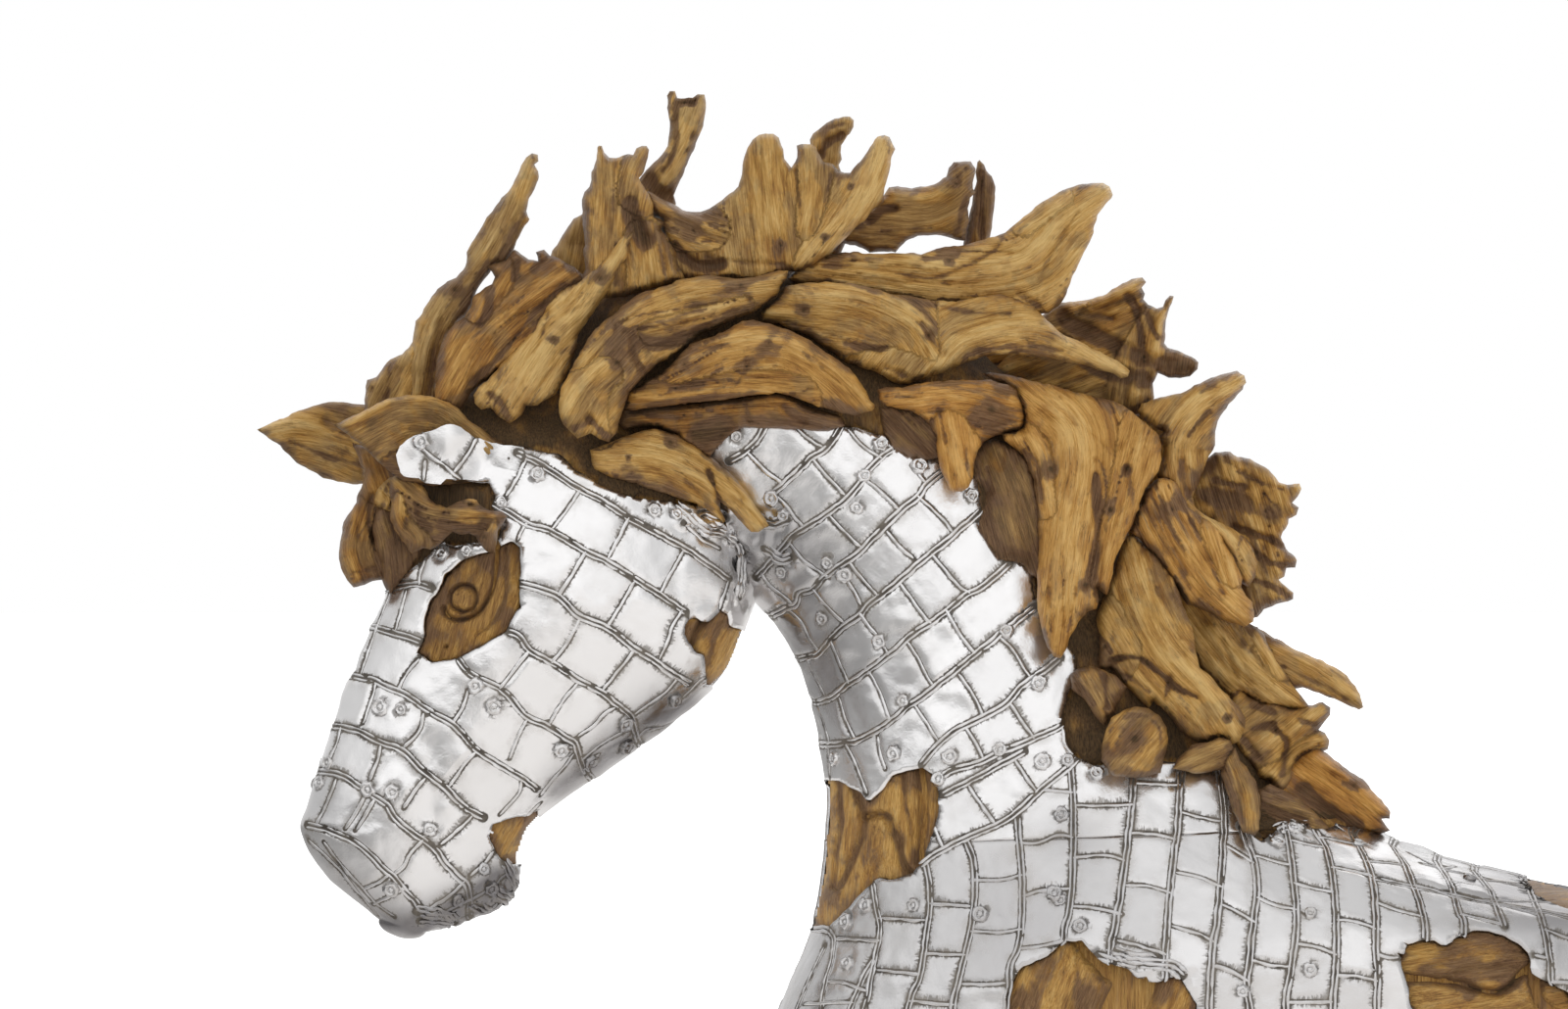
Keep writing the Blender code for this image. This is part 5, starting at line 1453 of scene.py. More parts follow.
        ((-400, 816, -350, 806, -315, 792), 1.5, 2), ((-320, 814, -265, 802, -220, 800), 3, 4),
        ((-275, 780, -240, 792, -210, 794), 2, 3), ((-345, 744, -325, 736), 3, 4)), "knots": ((-430, 803, 7),
        (-302, 778, 8)), "tint": 0.77},
    "low_plate_root": {"outline": (-610, 719, -600, 726, -588, 732, -575, 738, -566, 748, -556, 758,
        -545, 768, -535, 773, -520, 778, -505, 785, -492, 792, -482, 793, -470, 790, -455, 787, -442, 782,
        -428, 775, -415, 766, -402, 758, -392, 750, -383, 744, -377, 736, -371, 728, -366, 720, -361, 712,
        -356, 707, -360, 702, -368, 698, -378, 696, -388, 698, -400, 701, -415, 705, -430, 711, -445, 717,
        -458, 719, -470, 718, -490, 716, -515, 712, -540, 709, -560, 707, -585, 703, -605, 701, -613, 703,
        -612, 712), "crests": (((-558, 750, -510, 770, -450, 774, -400, 746, -362, 708), 12, 5), ((-605, 714,
        -550, 717, -490, 722, -430, 720), 5, 3)), "grooves": (((-550, 728, -500, 734, -450, 736), 1.5, 2),
        ((-545, 762, -515, 768), 3, 3), ((-505, 720, -490, 740, -488, 755), 3, 2.5),
        ((-430, 760, -400, 735, -380, 715), 1.5, 2), ((-560, 724, -530, 726), 2, 2)),
        "knots": ((-488, 746, 6), (-465, 770, 6), (-552, 748, 8)), "tint": 0.55, "ruddy": 0.35},
    "under_plate_root": {"outline": (-613, 701, -600, 702, -570, 706, -540, 708, -510, 712, -480, 716,
        -460, 720, -450, 718, -438, 712, -428, 706, -410, 700, -392, 696, -388, 686, -405, 680, -430, 682,
        -450, 682, -490, 684, -505, 676, -515, 666, -526, 654, -538, 660, -550, 670, -560, 677, -578, 684,
        -595, 684, -614, 680, -618, 688), "crests": (((-600, 692, -545, 696, -490, 702, -440, 700, -395, 690),
        5, 3),), "grooves": (((-534, 674, -515, 682), 14, 11), ((-590, 696, -560, 694, -535, 696), 3, 4),
        ((-490, 712, -485, 690), 2, 3), ((-450, 705, -430, 690), 4, 5)), "tint": 0.13, "ruddy": 0.4},
    "bent_root": {"outline": (-677, 725, -670, 738, -662, 752, -655, 765, -650, 775, -642, 785, -633, 793,
        -625, 798, -616, 806, -607, 814, -595, 821, -582, 825, -570, 829, -560, 833, -550, 836, -535, 838,
        -520, 839, -510, 837, -500, 835, -488, 836, -475, 839, -465, 841, -455, 844, -445, 844, -447, 836,
        -453, 828, -457, 820, -465, 812, -475, 805, -482, 800, -490, 798, -502, 793, -515, 787, -528, 781,
        -538, 777, -546, 768, -555, 762, -565, 755, -578, 749, -585, 742, -595, 734, -602, 727, -608, 720,
        -612, 710, -616, 698, -618, 688, -621, 678, -629, 669, -638, 672, -647, 678, -653, 675, -660, 672,
        -667, 678, -675, 686, -679, 695, -680, 707), "crests": (((-652, 758, -610, 800, -550, 823, -465, 834),
        11, 4), ((-672, 705, -658, 728, -638, 748), 10, 4), ((-590, 785, -550, 794, -490, 812), 5, 3)),
        "grooves": (((-602, 798, -550, 806, -485, 815), 1.5, 3), ((-614, 783, -560, 790, -500, 802), 1.5,
        3.5), ((-604, 776, -604, 758, -594, 740), 3.5, 6), ((-596, 770, -574, 768, -550, 776, -528, 784), 7,
        6), ((-635, 780, -625, 788, -610, 794), 2, 3.5), ((-560, 798, -530, 804), 1.5, 3),
        ((-650, 695, -638, 682, -630, 674), 4, 5), ((-664, 684, -650, 690), 4, 5)), "knots": ((-494, 828, 10),
        (-620, 750, 9), (-622, 787, 5)), "tint": 0.62},
    "forked_lock_root": {"outline": (-648, 660, -638, 665, -625, 670, -610, 675, -595, 680, -582, 682,
        -570, 679, -558, 675, -548, 669, -538, 663, -528, 656, -517, 648, -507, 638, -498, 630, -490, 620,
        -483, 610, -476, 600, -469, 590, -465, 583, -470, 580, -476, 577, -483, 577, -488, 580, -493, 587,
        -500, 595, -508, 603, -515, 608, -514, 600, -510, 589, -508, 580, -515, 589, -522, 595, -530, 601,
        -540, 605, -550, 609, -562, 613, -575, 617, -588, 621, -600, 626, -612, 629, -625, 632, -635, 637,
        -644, 642, -646, 650), "crests": (((-635, 657, -570, 652, -510, 620, -475, 585), 11, 5),), "grooves":
        (((-528, 640, -520, 622, -515, 608), 2.5, 8), ((-550, 632, -534, 614, -522, 600), 2, 3),
        ((-498, 620, -485, 600, -478, 580), 1.5, 2.5), ((-538, 650, -515, 630, -500, 608), 1.5, 2),
        ((-508, 632, -492, 610), 1.5, 2.5)), "knots": ((-609, 653, 7), (-566, 668, 7)), "tint": 0.68},
    "hooked_root": {"outline": (-355, 722, -345, 725, -330, 724, -315, 728, -300, 730, -280, 732, -260, 732,
        -240, 732, -222, 728, -212, 722, -208, 710, -205, 695, -205, 687, -210, 680, -220, 678, -228, 677,
        -238, 673, -247, 668, -252, 660, -255, 650, -257, 640, -258, 630, -262, 623, -268, 618, -276, 617,
        -281, 620, -285, 630, -290, 640, -293, 650, -294, 662, -295, 675, -300, 685, -308, 694, -320, 700,
        -335, 704, -345, 706, -353, 712), "crests": (((-330, 718, -270, 722, -215, 710), 12, 4),
        ((-282, 688, -272, 630), 7, 3)), "grooves": (((-292, 702, -284, 668), 2.5, 4),
        ((-265, 670, -264, 640), 1.5, 2.5), ((-250, 690, -220, 684), 2, 3), ((-345, 716, -310, 714), 2, 3)),
        "knots": ((-238, 702, 12),), "tint": 0.6, "ruddy": 0.8},
    "crest_wedge_root": {"outline": (-353, 704, -335, 708, -320, 704, -305, 696, -292, 680, -290, 654,
        -305, 650, -322, 654, -338, 662, -348, 676), "grooves": (((-340, 695, -320, 675, -300, 660), 6, 5),),
        "tint": -0.4, "ruddy": -0.5},
    "hanging_blade_root": {"outline": (-205, 695, -210, 708, -214, 720, -225, 728, -240, 734, -250, 738,
        -240, 740, -220, 738, -200, 732, -180, 728, -160, 722, -140, 716, -120, 713, -105, 708, -95, 700,
        -85, 690, -75, 683, -67, 675, -64, 665, -64, 650, -67, 640, -74, 632, -82, 620, -87, 605, -92, 590,
        -98, 578, -105, 565, -110, 553, -114, 540, -117, 525, -121, 512, -125, 516, -130, 520, -128, 508,
        -132, 498, -140, 495, -150, 485, -157, 472, -161, 460, -167, 448, -175, 450, -182, 460, -186, 475,
        -190, 490, -192, 510, -192, 530, -190, 550, -190, 570, -191, 590, -193, 610, -196, 630, -202, 645,
        -207, 655, -215, 663, -225, 670, -228, 676, -215, 678, -205, 684), "crests": (((-190, 718, -155, 685,
        -150, 640, -160, 580, -172, 495), 20, 6), ((-85, 670, -98, 620, -108, 580, -119, 530), 9, 6),
        ((-200, 675, -188, 650, -180, 600), 6, 3)), "grooves": (((-132, 635, -130, 590, -134, 545, -142, 520),
        5, 6), ((-165, 528, -166, 480), 1.5, 4), ((-180, 520, -177, 475), 1.5, 3.5), ((-152, 520, -160, 475),
        1.5, 3.5), ((-100, 642, -95, 610, -102, 585), 3, 4), ((-204, 670, -190, 640, -186, 600), 2, 3),
        ((-190, 700, -140, 680, -110, 650), 1.5, 2), ((-186, 484, -184, 465), 2, 4)),
        "knots": ((-178, 642, 8), (-99, 642, 11), (-117, 599, 7), (-143, 523, 10)), "tint": 0.6,
        "ruddy": 0.45},
    "crest_oval_root": {"outline": (-262, 650, -257, 660, -247, 668, -236, 672, -224, 670, -212, 662,
        -202, 650, -194, 630, -189, 608, -186, 585, -186, 560, -188, 528, -198, 534, -205, 542, -215, 547,
        -228, 547, -238, 550, -247, 562, -253, 580, -254, 595, -252, 615, -258, 630), "crests":
        (((-235, 650, -220, 610, -210, 575), 12, 4),), "grooves": (((-250, 620, -245, 580, -230, 555,
        -200, 545), 10, 8), ((-242, 642, -238, 620), 3, 4)), "tint": -0.25},
    "upswept_root": {"outline": (-67, 673, -64, 680, -75, 685, -85, 692, -90, 700, -85, 708, -75, 712,
        -65, 714, -55, 716, -45, 719, -35, 724, -25, 729, -15, 734, -5, 737, 5, 740, 13, 741, 20, 737,
        22, 730, 18, 722, 12, 717, 5, 710, -2, 700, -7, 690, -10, 680, -10, 665, -15, 655, -20, 645, -24, 635,
        -28, 625, -33, 612, -31, 603, -22, 595, -7, 588, 8, 580, 20, 572, 29, 560, 33, 547, 32, 532, 24, 520,
        12, 528, 0, 555, -15, 575, -30, 588, -46, 604, -54, 620, -65, 626, -70, 636, -64, 650, -63, 665),
        "crests": (((15, 732, -25, 706, -52, 670, -50, 630), 11, 6), ((-28, 602, 0, 575, 22, 540), 8, 4)),
        "grooves": (((-18, 700, -38, 675), 3, 4), ((-45, 650, -42, 624, -26, 594), 4, 4),
        ((-5, 725, -25, 718), 2, 3), ((-70, 700, -45, 708), 1.5, 2)), "knots": ((-60, 678, 5),), "tint": 0.5},
    "bark_burr_root": {"outline": (-25, 640, -18, 652, -10, 659, 5, 659, 12, 654, 25, 652, 35, 646, 45, 640,
        51, 632, 55, 627, 68, 625, 76, 626, 78, 620, 74, 612, 69, 606, 75, 602, 73, 595, 65, 590, 62, 580,
        56, 572, 60, 565, 65, 557, 73, 548, 72, 541, 62, 540, 60, 532, 55, 528, 62, 522, 70, 515, 70, 508,
        60, 505, 48, 502, 40, 498, 34, 490, 22, 488, 12, 515, 12, 535, 5, 560, -15, 585, -35, 598, -38, 612,
        -32, 626), "grooves": (((-22, 615, 12, 608, 50, 595), 9, 5), ((10, 640, 35, 628, 60, 620), 2, 4),
        ((0, 650, 20, 638), 2, 3), ((10, 580, 40, 572, 62, 560), 4, 7), ((25, 530, 50, 520, 68, 510), 3, 5),
        ((20, 560, 50, 545, 70, 542), 3, 5), ((-10, 630, 20, 622), 3, 4)), "rough": 2.2, "tint": 0.67},
    "shoulder_plate_root": {"outline": (-90, 600, -82, 620, -72, 631, -60, 632, -50, 627, -43, 615, -38, 603,
        -28, 595, -15, 587, -5, 578, 0, 565, 6, 555, 14, 542, 18, 530, 17, 520, 22, 512, 28, 505, 30, 495,
        28, 486, 20, 480, 5, 485, -5, 488, -15, 494, -28, 500, -38, 503, -45, 513, -50, 522, -58, 535,
        -67, 547, -78, 560, -88, 570, -98, 576), "crests": (((-72, 624, -54, 580, -18, 524, 18, 488), 12, 4),
        ((-10, 575, 5, 530), 7, 3)), "grooves": (((-36, 590, -18, 554, -2, 514), 2.5, 3.5),
        ((-80, 600, -60, 560, -35, 520), 2, 2.5), ((-50, 560, -40, 535), 3, 3), ((-25, 510, -5, 494), 2, 3)),
        "knots": ((-54, 600, 6),), "tint": 0.57, "ruddy": 0.5},
    "leaf_root": {"outline": (-102, 572, -92, 575, -78, 560, -65, 546, -54, 530, -47, 517, -43, 502, -36, 488,
        -32, 470, -29, 452, -25, 438, -14, 429, -5, 418, 5, 407, 14, 399, 20, 388, 20, 375, 15, 363, 6, 360,
        0, 367, -10, 368, -18, 361, -28, 362, -38, 368, -46, 375, -53, 385, -62, 395, -72, 404, -77, 397,
        -85, 404, -95, 414, -104, 422, -111, 431, -116, 438, -126, 436, -131, 440, -129, 455, -128, 468,
        -131, 482, -130, 495, -125, 508, -119, 520, -113, 535, -108, 554), "crests": (((-98, 560, -82, 510,
        -58, 462, -14, 412, 12, 375), 14, 5), ((-120, 495, -100, 460), 8, 3)), "grooves": (((-116, 446,
        -90, 449, -70, 436, -46, 416, -28, 408), 3, 8), ((-55, 430, -62, 405), 3, 4), ((-110, 520, -90, 480),
        1.5, 2), ((-70, 520, -50, 480, -40, 450), 1.5, 2.5), ((-25, 405, -15, 380), 2.5, 3.5),
        ((-128, 470, -118, 455), 4, 5), ((-100, 430, -78, 414), 3, 4)), "knots": ((-123, 460, 6),
        (3, 387, 7)), "tint": 0.66},
    "long_back_root": {"outline": (-50, 524, -38, 514, -18, 508, -3, 498, 12, 490, 22, 482, 33, 480, 40, 472,
        45, 460, 50, 448, 58, 438, 65, 427, 72, 417, 80, 407, 88, 398, 80, 394, 68, 396, 53, 398, 38, 400,
        26, 408, 16, 412, 4, 410, -6, 420, -18, 430, -28, 444, -36, 458, -40, 472, -46, 488, -52, 505),
        "crests": (((-10, 480, 22, 440, 68, 404), 9, 4), ((32, 472, 56, 432), 6, 3)),
        "grooves": (((-4, 468, 12, 430), 2.5, 4), ((26, 458, 50, 420), 2, 3), ((-35, 495, -10, 480), 2, 3)),
        "tint": 0.75},
    "tail_prong_root": {"outline": (18, 488, 35, 478, 45, 472, 58, 465, 70, 457, 85, 452, 100, 445, 115, 437,
        125, 430, 133, 420, 138, 408, 142, 398, 137, 396, 125, 400, 110, 406, 95, 412, 80, 418, 68, 416,
        54, 420, 40, 430, 26, 450), "crests": (((50, 460, 95, 436, 134, 408), 6, 4),),
        "grooves": (((60, 440, 100, 420, 125, 406), 2.5, 3.5),), "tint": 0.5},
    "gnarled_end_root": {"outline": (6, 416, 15, 418, 25, 410, 38, 404, 52, 402, 65, 400, 75, 400, 88, 400,
        100, 403, 107, 398, 107, 390, 100, 382, 95, 375, 102, 372, 107, 365, 105, 355, 95, 350, 85, 344,
        75, 335, 68, 323, 60, 312, 50, 312, 45, 322, 35, 325, 30, 335, 22, 342, 14, 352, 8, 362, 6, 380,
        4, 400), "crests": (((98, 398, 72, 376, 50, 358), 7, 5), ((100, 362, 75, 354, 50, 328), 6, 4)),
        "grooves": (((48, 378, 62, 362, 58, 330), 3, 6), ((28, 375, 50, 382), 3, 5), ((72, 344, 95, 360), 2.5,
        4), ((75, 385, 100, 378), 3, 5), ((30, 400, 50, 392), 4, 5), ((20, 365, 35, 345), 4, 4)),
        "knots": ((52, 374, 6),), "rough": 1.5, "tint": 0.54},
    "withers_log_root": {"outline": (46, 308, 52, 322, 64, 335, 78, 348, 94, 356, 104, 352, 112, 344,
        125, 335, 140, 325, 153, 312, 163, 300, 169, 292, 168, 285, 159, 284, 163, 278, 169, 271, 158, 269,
        145, 271, 135, 270, 120, 274, 105, 278, 90, 286, 72, 296), "crests": (((92, 344, 132, 316, 165, 290),
        7, 4),), "grooves": (((80, 314, 100, 294, 135, 278), 8, 9), ((110, 330, 135, 312), 2, 3)),
        "knots": ((132, 318, 7),), "tint": 0.48, "ruddy": 0.8},
    "withers_under_root": {"outline": (32, 312, 46, 320, 62, 312, 75, 305, 92, 290, 108, 274, 100, 262,
        75, 270, 54, 264, 38, 258, 28, 264, 30, 290), "grooves": (((40, 290, 80, 280), 8, 6),), "tint": 0.12,
        "ruddy": -0.6},
    "wedge_root": {"outline": (-54, 336, -44, 350, -34, 360, -18, 362, -5, 367, 6, 364, 10, 354, 2, 336,
        -25, 330), "crests": (((-35, 345, -5, 358), 5, 3),), "tint": 0.5, "ruddy": -0.4},
    "low_prong_root": {"outline": (-4, 340, 2, 350, 10, 356, 16, 344, 24, 333, 32, 322, 36, 308, 36, 290,
        35, 274, 30, 267, 18, 270, 10, 288, 4, 305, -1, 320, -4, 330), "crests": (((8, 345, 22, 310, 26, 278),
        6, 4),), "grooves": (((12, 302, 18, 280), 2, 3),), "tint": 0.12},
    "inner_splint_root": {"outline": (-158, 430, -150, 438, -138, 440, -124, 436, -110, 430, -100, 418,
        -106, 408, -112, 394, -122, 378, -130, 386, -138, 398, -146, 408, -156, 416), "crests":
        (((-145, 430, -132, 408, -124, 392), 5, 4),), "grooves": (((-124, 430, -120, 398), 2.5, 5),
        ((-152, 422, -134, 402), 3, 5)), "tint": 0.16},
    "inner_log_root": {"outline": (-126, 344, -125, 360, -122, 375, -116, 387, -105, 395, -92, 399, -78, 397,
        -67, 390, -60, 378, -58, 365, -60, 352, -66, 330, -90, 325, -115, 328), "grooves": (((-120, 352,
        -116, 375, -100, 389, -78, 387, -66, 372, -66, 354), 1.5, 3),), "knots": ((-92, 366, 10),),
        "tint": 0.5},
    "burr_root": {"outline": (-200, 790, -187, 798, -178, 805, -168, 812, -155, 812, -140, 814, -125, 818,
        -115, 824, -105, 830, -95, 835, -85, 837, -81, 833, -85, 827, -82, 820, -84, 814, -78, 809, -70, 805,
        -64, 808, -60, 814, -56, 818, -52, 818, -54, 810, -58, 802, -60, 792, -61, 782, -62, 770, -58, 765,
        -52, 763, -44, 760, -35, 756, -27, 750, -28, 744, -36, 736, -46, 734, -58, 735, -68, 739, -74, 728,
        -72, 714, -78, 702, -90, 696, -110, 700, -140, 708, -170, 716, -200, 724, -225, 732, -235, 744,
        -220, 758, -205, 774), "crests": (((-90, 832, -120, 818, -155, 805), 6, 4),
        ((-58, 810, -70, 785, -75, 755), 6, 4)), "grooves": (((-165, 795, -130, 775, -80, 752, -40, 745), 9,
        8), ((-100, 820, -90, 800, -85, 770), 4, 7), ((-150, 800, -115, 795), 3, 5), ((-80, 800, -70, 775), 3,
        5), ((-170, 770, -120, 742, -85, 734), 10, 9)), "rough": 2, "tint": 0.48},
    "forelock_lump": {"outline": (-890, 668, -882, 645, -878, 640, -880, 625, -886, 612, -890, 600, -900, 587,
        -902, 572, -904, 555, -902, 540, -896, 528, -890, 520, -878, 523, -866, 528, -860, 528, -855, 518,
        -850, 514, -840, 528, -842, 545, -848, 565, -854, 580, -846, 600, -842, 620, -844, 640, -858, 652,
        -872, 664), "crests": (((-885, 590, -892, 560, -884, 532), 9, 4), ((-880, 655, -868, 620), 4, 3)),
        "grooves": (((-870, 615, -874, 590, -868, 572), 3, 5), ((-892, 535, -865, 540), 2, 3),
        ((-866, 600, -868, 560, -858, 530), 3, 4)), "tint": 0.15, "ruddy": 0.3},
    "forelock_tongue": {"outline": (-866, 600, -858, 604, -848, 602, -842, 588, -835, 577, -828, 568,
        -818, 564, -816, 554, -824, 543, -835, 532, -845, 521, -852, 513, -856, 520, -859, 533, -863, 550,
        -868, 565, -870, 582), "crests": (((-860, 596, -852, 565, -848, 530), 5, 3),),
        "grooves": (((-845, 590, -840, 565), 2, 3),), "tint": 0.12},
    "forelock_chunk": {"outline": (-868, 608, -867, 617, -861, 625, -852, 633, -844, 634, -840, 628,
        -844, 615, -846, 605, -850, 596, -858, 597, -865, 602), "crests": (((-860, 625, -850, 610, -852, 600),
        5, 4),), "grooves": (((-856, 620, -858, 605), 2, 3),), "tint": 0.7},
    "forelock_root": {"outline": (-852, 630, -842, 638, -832, 636, -823, 630, -817, 622, -812, 613, -804, 605,
        -794, 602, -784, 607, -772, 611, -764, 609, -758, 603, -750, 600, -738, 598, -732, 593, -736, 587,
        -742, 578, -744, 565, -745, 554, -753, 557, -758, 562, -765, 572, -772, 575, -780, 574, -788, 577,
        -794, 572, -803, 562, -810, 559, -818, 560, -825, 556, -830, 554, -836, 564, -842, 572, -848, 580,
        -852, 592, -850, 605, -853, 617), "crests": (((-845, 625, -830, 612, -815, 602, -790, 597, -760, 597,
        -738, 594), 6, 5), ((-842, 615, -842, 590, -828, 570, -828, 558), 5, 4), ((-745, 590, -750, 560), 5,
        4), ((-772, 608, -755, 604), 4, 2)), "grooves": (((-825, 605, -822, 590, -812, 578), 4, 5),
        ((-800, 585, -770, 580, -756, 585), 5, 4), ((-836, 600, -836, 580), 2, 3), ((-812, 570, -798, 572), 6,
        3), ((-760, 590, -738, 586), 1.5, 2)), "knots": ((-738, 592, 5), (-756, 572, 5)), "rough": 1.6,
        "tint": 0.26},
}
rightShifts = {"bright_root": (-2, -5), "broad_plate_root": (8, -14), "low_plate_root": (-8, -4),
               "bent_root": (12, -10), "hanging_blade_root": (8, -6), "leaf_root": (6, 6),
               "upswept_root": (-8, -10), "long_back_root": (-10, 0)}
rootShape = {"pitch": 2.6, "lumps": 2.6, "chisel": 2.8, "cracks": 3.2, "fibre": 1.1, "ragged": 1.1,
             "thinnest": 7, "thickest": 24, "edge": 10, "backShare": 0.85, "fewest": 12,
             "high": 1028.4, "wide": 218.5}


def alongCrests(places, form):
    # how far along the nearest crest each place lies, and how far to its side
    lines = [curvedLine(crest[0]) for crest in form.get("crests", ())]
    ring = np.array(form["outline"], float).reshape(-1, 2)
    if not lines:
        centre = ring.mean(axis=0)
        axis = np.linalg.eigh(np.cov((ring - centre).T))[1][:, 1]
        lines = [np.array((centre - axis * 60, centre + axis * 60))]
    best, along, beside = (np.full(len(places), 1e9) for k in range(3))
    for number, line in enumerate(lines):
        run = 300.0 * number
        for start, end in zip(line, line[1:]):
            step = end - start
            length = max(np.linalg.norm(step), 1e-6)
            share = ((places - start) @ step) / length ** 2
            off = places - start - np.clip(share, 0, 1)[:, None] * step
            gap = np.linalg.norm(off, axis=1) * (1 + 0.6 * number)
            closer = gap < best
            best[closer] = gap[closer]
            along[closer] = (run + share * length)[closer]
            beside[closer] = ((off[:, 0] * step[1] - off[:, 1] * step[0]) / length)[closer]
            run += length
    return along, beside


def settledField(values, known, places, edges):
    # a value known at some places, spread to the rest and smoothed
    tree = KDTree(int(known.sum()))
    for k in np.flatnonzero(known):
        tree.insert((*places[k], 0), int(k))
    tree.balance()
    for k in np.flatnonzero(~known):
        found = tree.find_n((*places[k], 0), 5)
        values[k] = np.mean([values[f[1]] for f in found])
    count = np.maximum(np.bincount(edges.ravel(), minlength=len(values)), 1)
    for again in range(30):
        total = (np.bincount(edges[:, 0], values[edges[:, 1]], len(values))
                 + np.bincount(edges[:, 1], values[edges[:, 0]], len(values)))
        values = values * 0.4 + total / count * 0.6
    return values


def depthsOf(node, places, side):
    # where the plain root's near and far faces lie at each place, and where it is there at all
    tree = BVHTree.FromPolygons([tuple(v.co / mm) for v in node.data.vertices],
                                [tuple(face.vertices) for face in node.data.polygons])
    middle = sum(v.co.y for v in node.data.vertices) / len(node.data.vertices) / mm
    nearer = (eyeAway + middle) / eyeAway if side < 0 else 1.0
    depths, known = np.zeros((len(places), 2)), np.zeros(len(places), bool)
    for k, (x, z) in enumerate(eyeFlat + (places - eyeFlat) * nearer):
        front, back = (tree.ray_cast(Vector((x, way * 900, z)), Vector((0, -way, 0)))[0]
                       for way in (side, -side))
        if front is not None and back is not None:
            depths[k], known[k] = (front.y, back.y), True
    if known.sum() < rootShape["fewest"]:
        known[:], depths[:] = True, (middle + side * 10, middle - side * 10)
    return depths, known


def rootBody(name, form, node, side, shift, seed):
    outline = ragged(form["outline"], seed, rootShape["ragged"], 8) + shift
    places, faces, edges, uses = patchOf(outline, rootShape["pitch"], seed)
    count = len(places)
    gap = nearestOnOutline(places, outline)[0]
    rim = np.zeros(count, bool)
    rim[edges[uses == 1].ravel()] = True
    depths, known = depthsOf(node, places, side)
    spread = np.abs(depths[:, 0] - depths[:, 1]) / 2
    half = np.clip(np.percentile(spread[known], 80), rootShape["thinnest"], rootShape["thickest"])
    centre = settledField(depths.mean(axis=1), known, places, edges)
    if "tuck" in form:
        x, z, reach, inward = form["tuck"]
        centre -= side * inward * fading(places, x, z, reach)
    bulge = np.sqrt(np.clip(1 - (1 - np.clip(gap / min(half + 2, rootShape["edge"]), 0, 1)) ** 2, 0, 1))
    thick = half * bulge * (0.9 + 0.12 * np.clip(gap / 30, 0, 1))
    local = places - shift
    along, beside = alongCrests(local, form)
    grain = np.stack([along, beside, np.full(count, side * 3.0)], 1) + seed * 53.0
    stretched, longer = grain * (0.3, 1, 1), grain * (0.11, 1, 1)
    # lumps, chisel cuts, cracks and fibres
    rough = form.get("rough", 1.0)
    chisel = rootShape["chisel"]
    lift = rootShape["lumps"] * roughAt(stretched, 26, 1, 2)
    lift += chisel * rough * (np.abs(noiseAt(grain * (0.45, 1, 1), 15, 3)) - 0.35) * 1.8
    lift += chisel * 0.6 * rough * (np.abs(noiseAt(stretched, 7, 4)) - 0.35)
    vein = np.abs(noiseAt(longer, 8.5, 5))
    gate = eased(roughAt(stretched, 40, 7, 2), 0.08, 0.4)
    crack = eased(vein, 0.10, 0.015) * gate
    lift -= rootShape["cracks"] * min(rough, 1.6) * crack
    lift += rootShape["fibre"] * rough * roughAt(longer, 4.2, 9, 2)
    # painted shade in the cracks, then in the grooves and the knots' pits
    dark = crack * 0.25
    seep = np.zeros(count)
    wander = 1.5 * noiseAt(upright(local), 11, 6)
    for line, reach, rise in form.get("crests", ()):
        near = nearestOnOutline(local, curvedLine(line), False)[0]
        lift += rise * np.exp(-(near / reach) ** 2)
    for line, reach, down in form.get("grooves", ()):
        near = nearestOnOutline(local, curvedLine(line), False)[0] + wander
        share = eased(near, reach * 1.5, reach * 0.3)
        lift -= down * share
        dark = np.maximum(dark, share * min(0.06 + down / 24, 0.7))
    for x, z, reach in form.get("knots", ()):
        near = np.linalg.norm(local - (x, z), axis=1) / reach * (1 + 0.2 * wander)
        lift += 1.3 * np.exp(-((near - 0.75) / 0.28) ** 2) - 2.6 * np.exp(-(near / 0.4) ** 2)
        dark = np.maximum(dark, 0.6 * np.exp(-(near / 0.4) ** 2) + 0.22 * np.exp(-(near / 1.1) ** 4))
        seep += 0.75 * np.exp(-(near / 1.9) ** 2)
    # a front and a back that meet at the outline
    held = eased(gap, 0, 5)
    front = centre + side * (thick + lift * held)
    back = centre - side * (thick * rootShape["backShare"] + 1.4 * held * roughAt(stretched + 300, 16, 2, 2))
    inner = np.flatnonzero(~rim)
    number = np.arange(count)
    number[inner] = count + np.arange(len(inner))
    ys = np.concatenate([front, back[inner]])
    ys[np.flatnonzero(rim)] = centre[rim]
    points = placedAt(np.concatenate([places, places[inner]]), ys, side)
    points[:, 2] = np.minimum(points[:, 2], rootShape["high"])
    points[:, 1] = np.clip(points[:, 1], -rootShape["wide"], rootShape["wide"])
    faces = facedTo(side, points, faces)
    faces = np.concatenate([faces, number[faces][:, ::-1]])
    tint = form["tint"] + 0.22 * roughAt(stretched, 55, 11, 2) + 0.06 * lift
    # stains, with the painted shade of the grooves, cracks and knots added
    stained = seep + 0.75 * eased(dark, 0.02, 0.4) + 0.55 * eased(gap + 6 * roughAt(grain, 16, 8, 2), 13, 0)
    stained += 0.35 * (0.55 - form["tint"]) + 0.4 * roughAt(stretched, 38, 15, 2) - 0.07 * lift
    pick = np.concatenate([np.arange(count), inner])
    facts = {"grain": grain, "tint": np.clip(tint, 0, 1), "dark": dark, "lift": lift, "stained": stained,
             "ruddy": np.full(count, form.get("ruddy", 0.0))}
    return name, points, faces, {key: fact[pick] for key, fact in facts.items()}


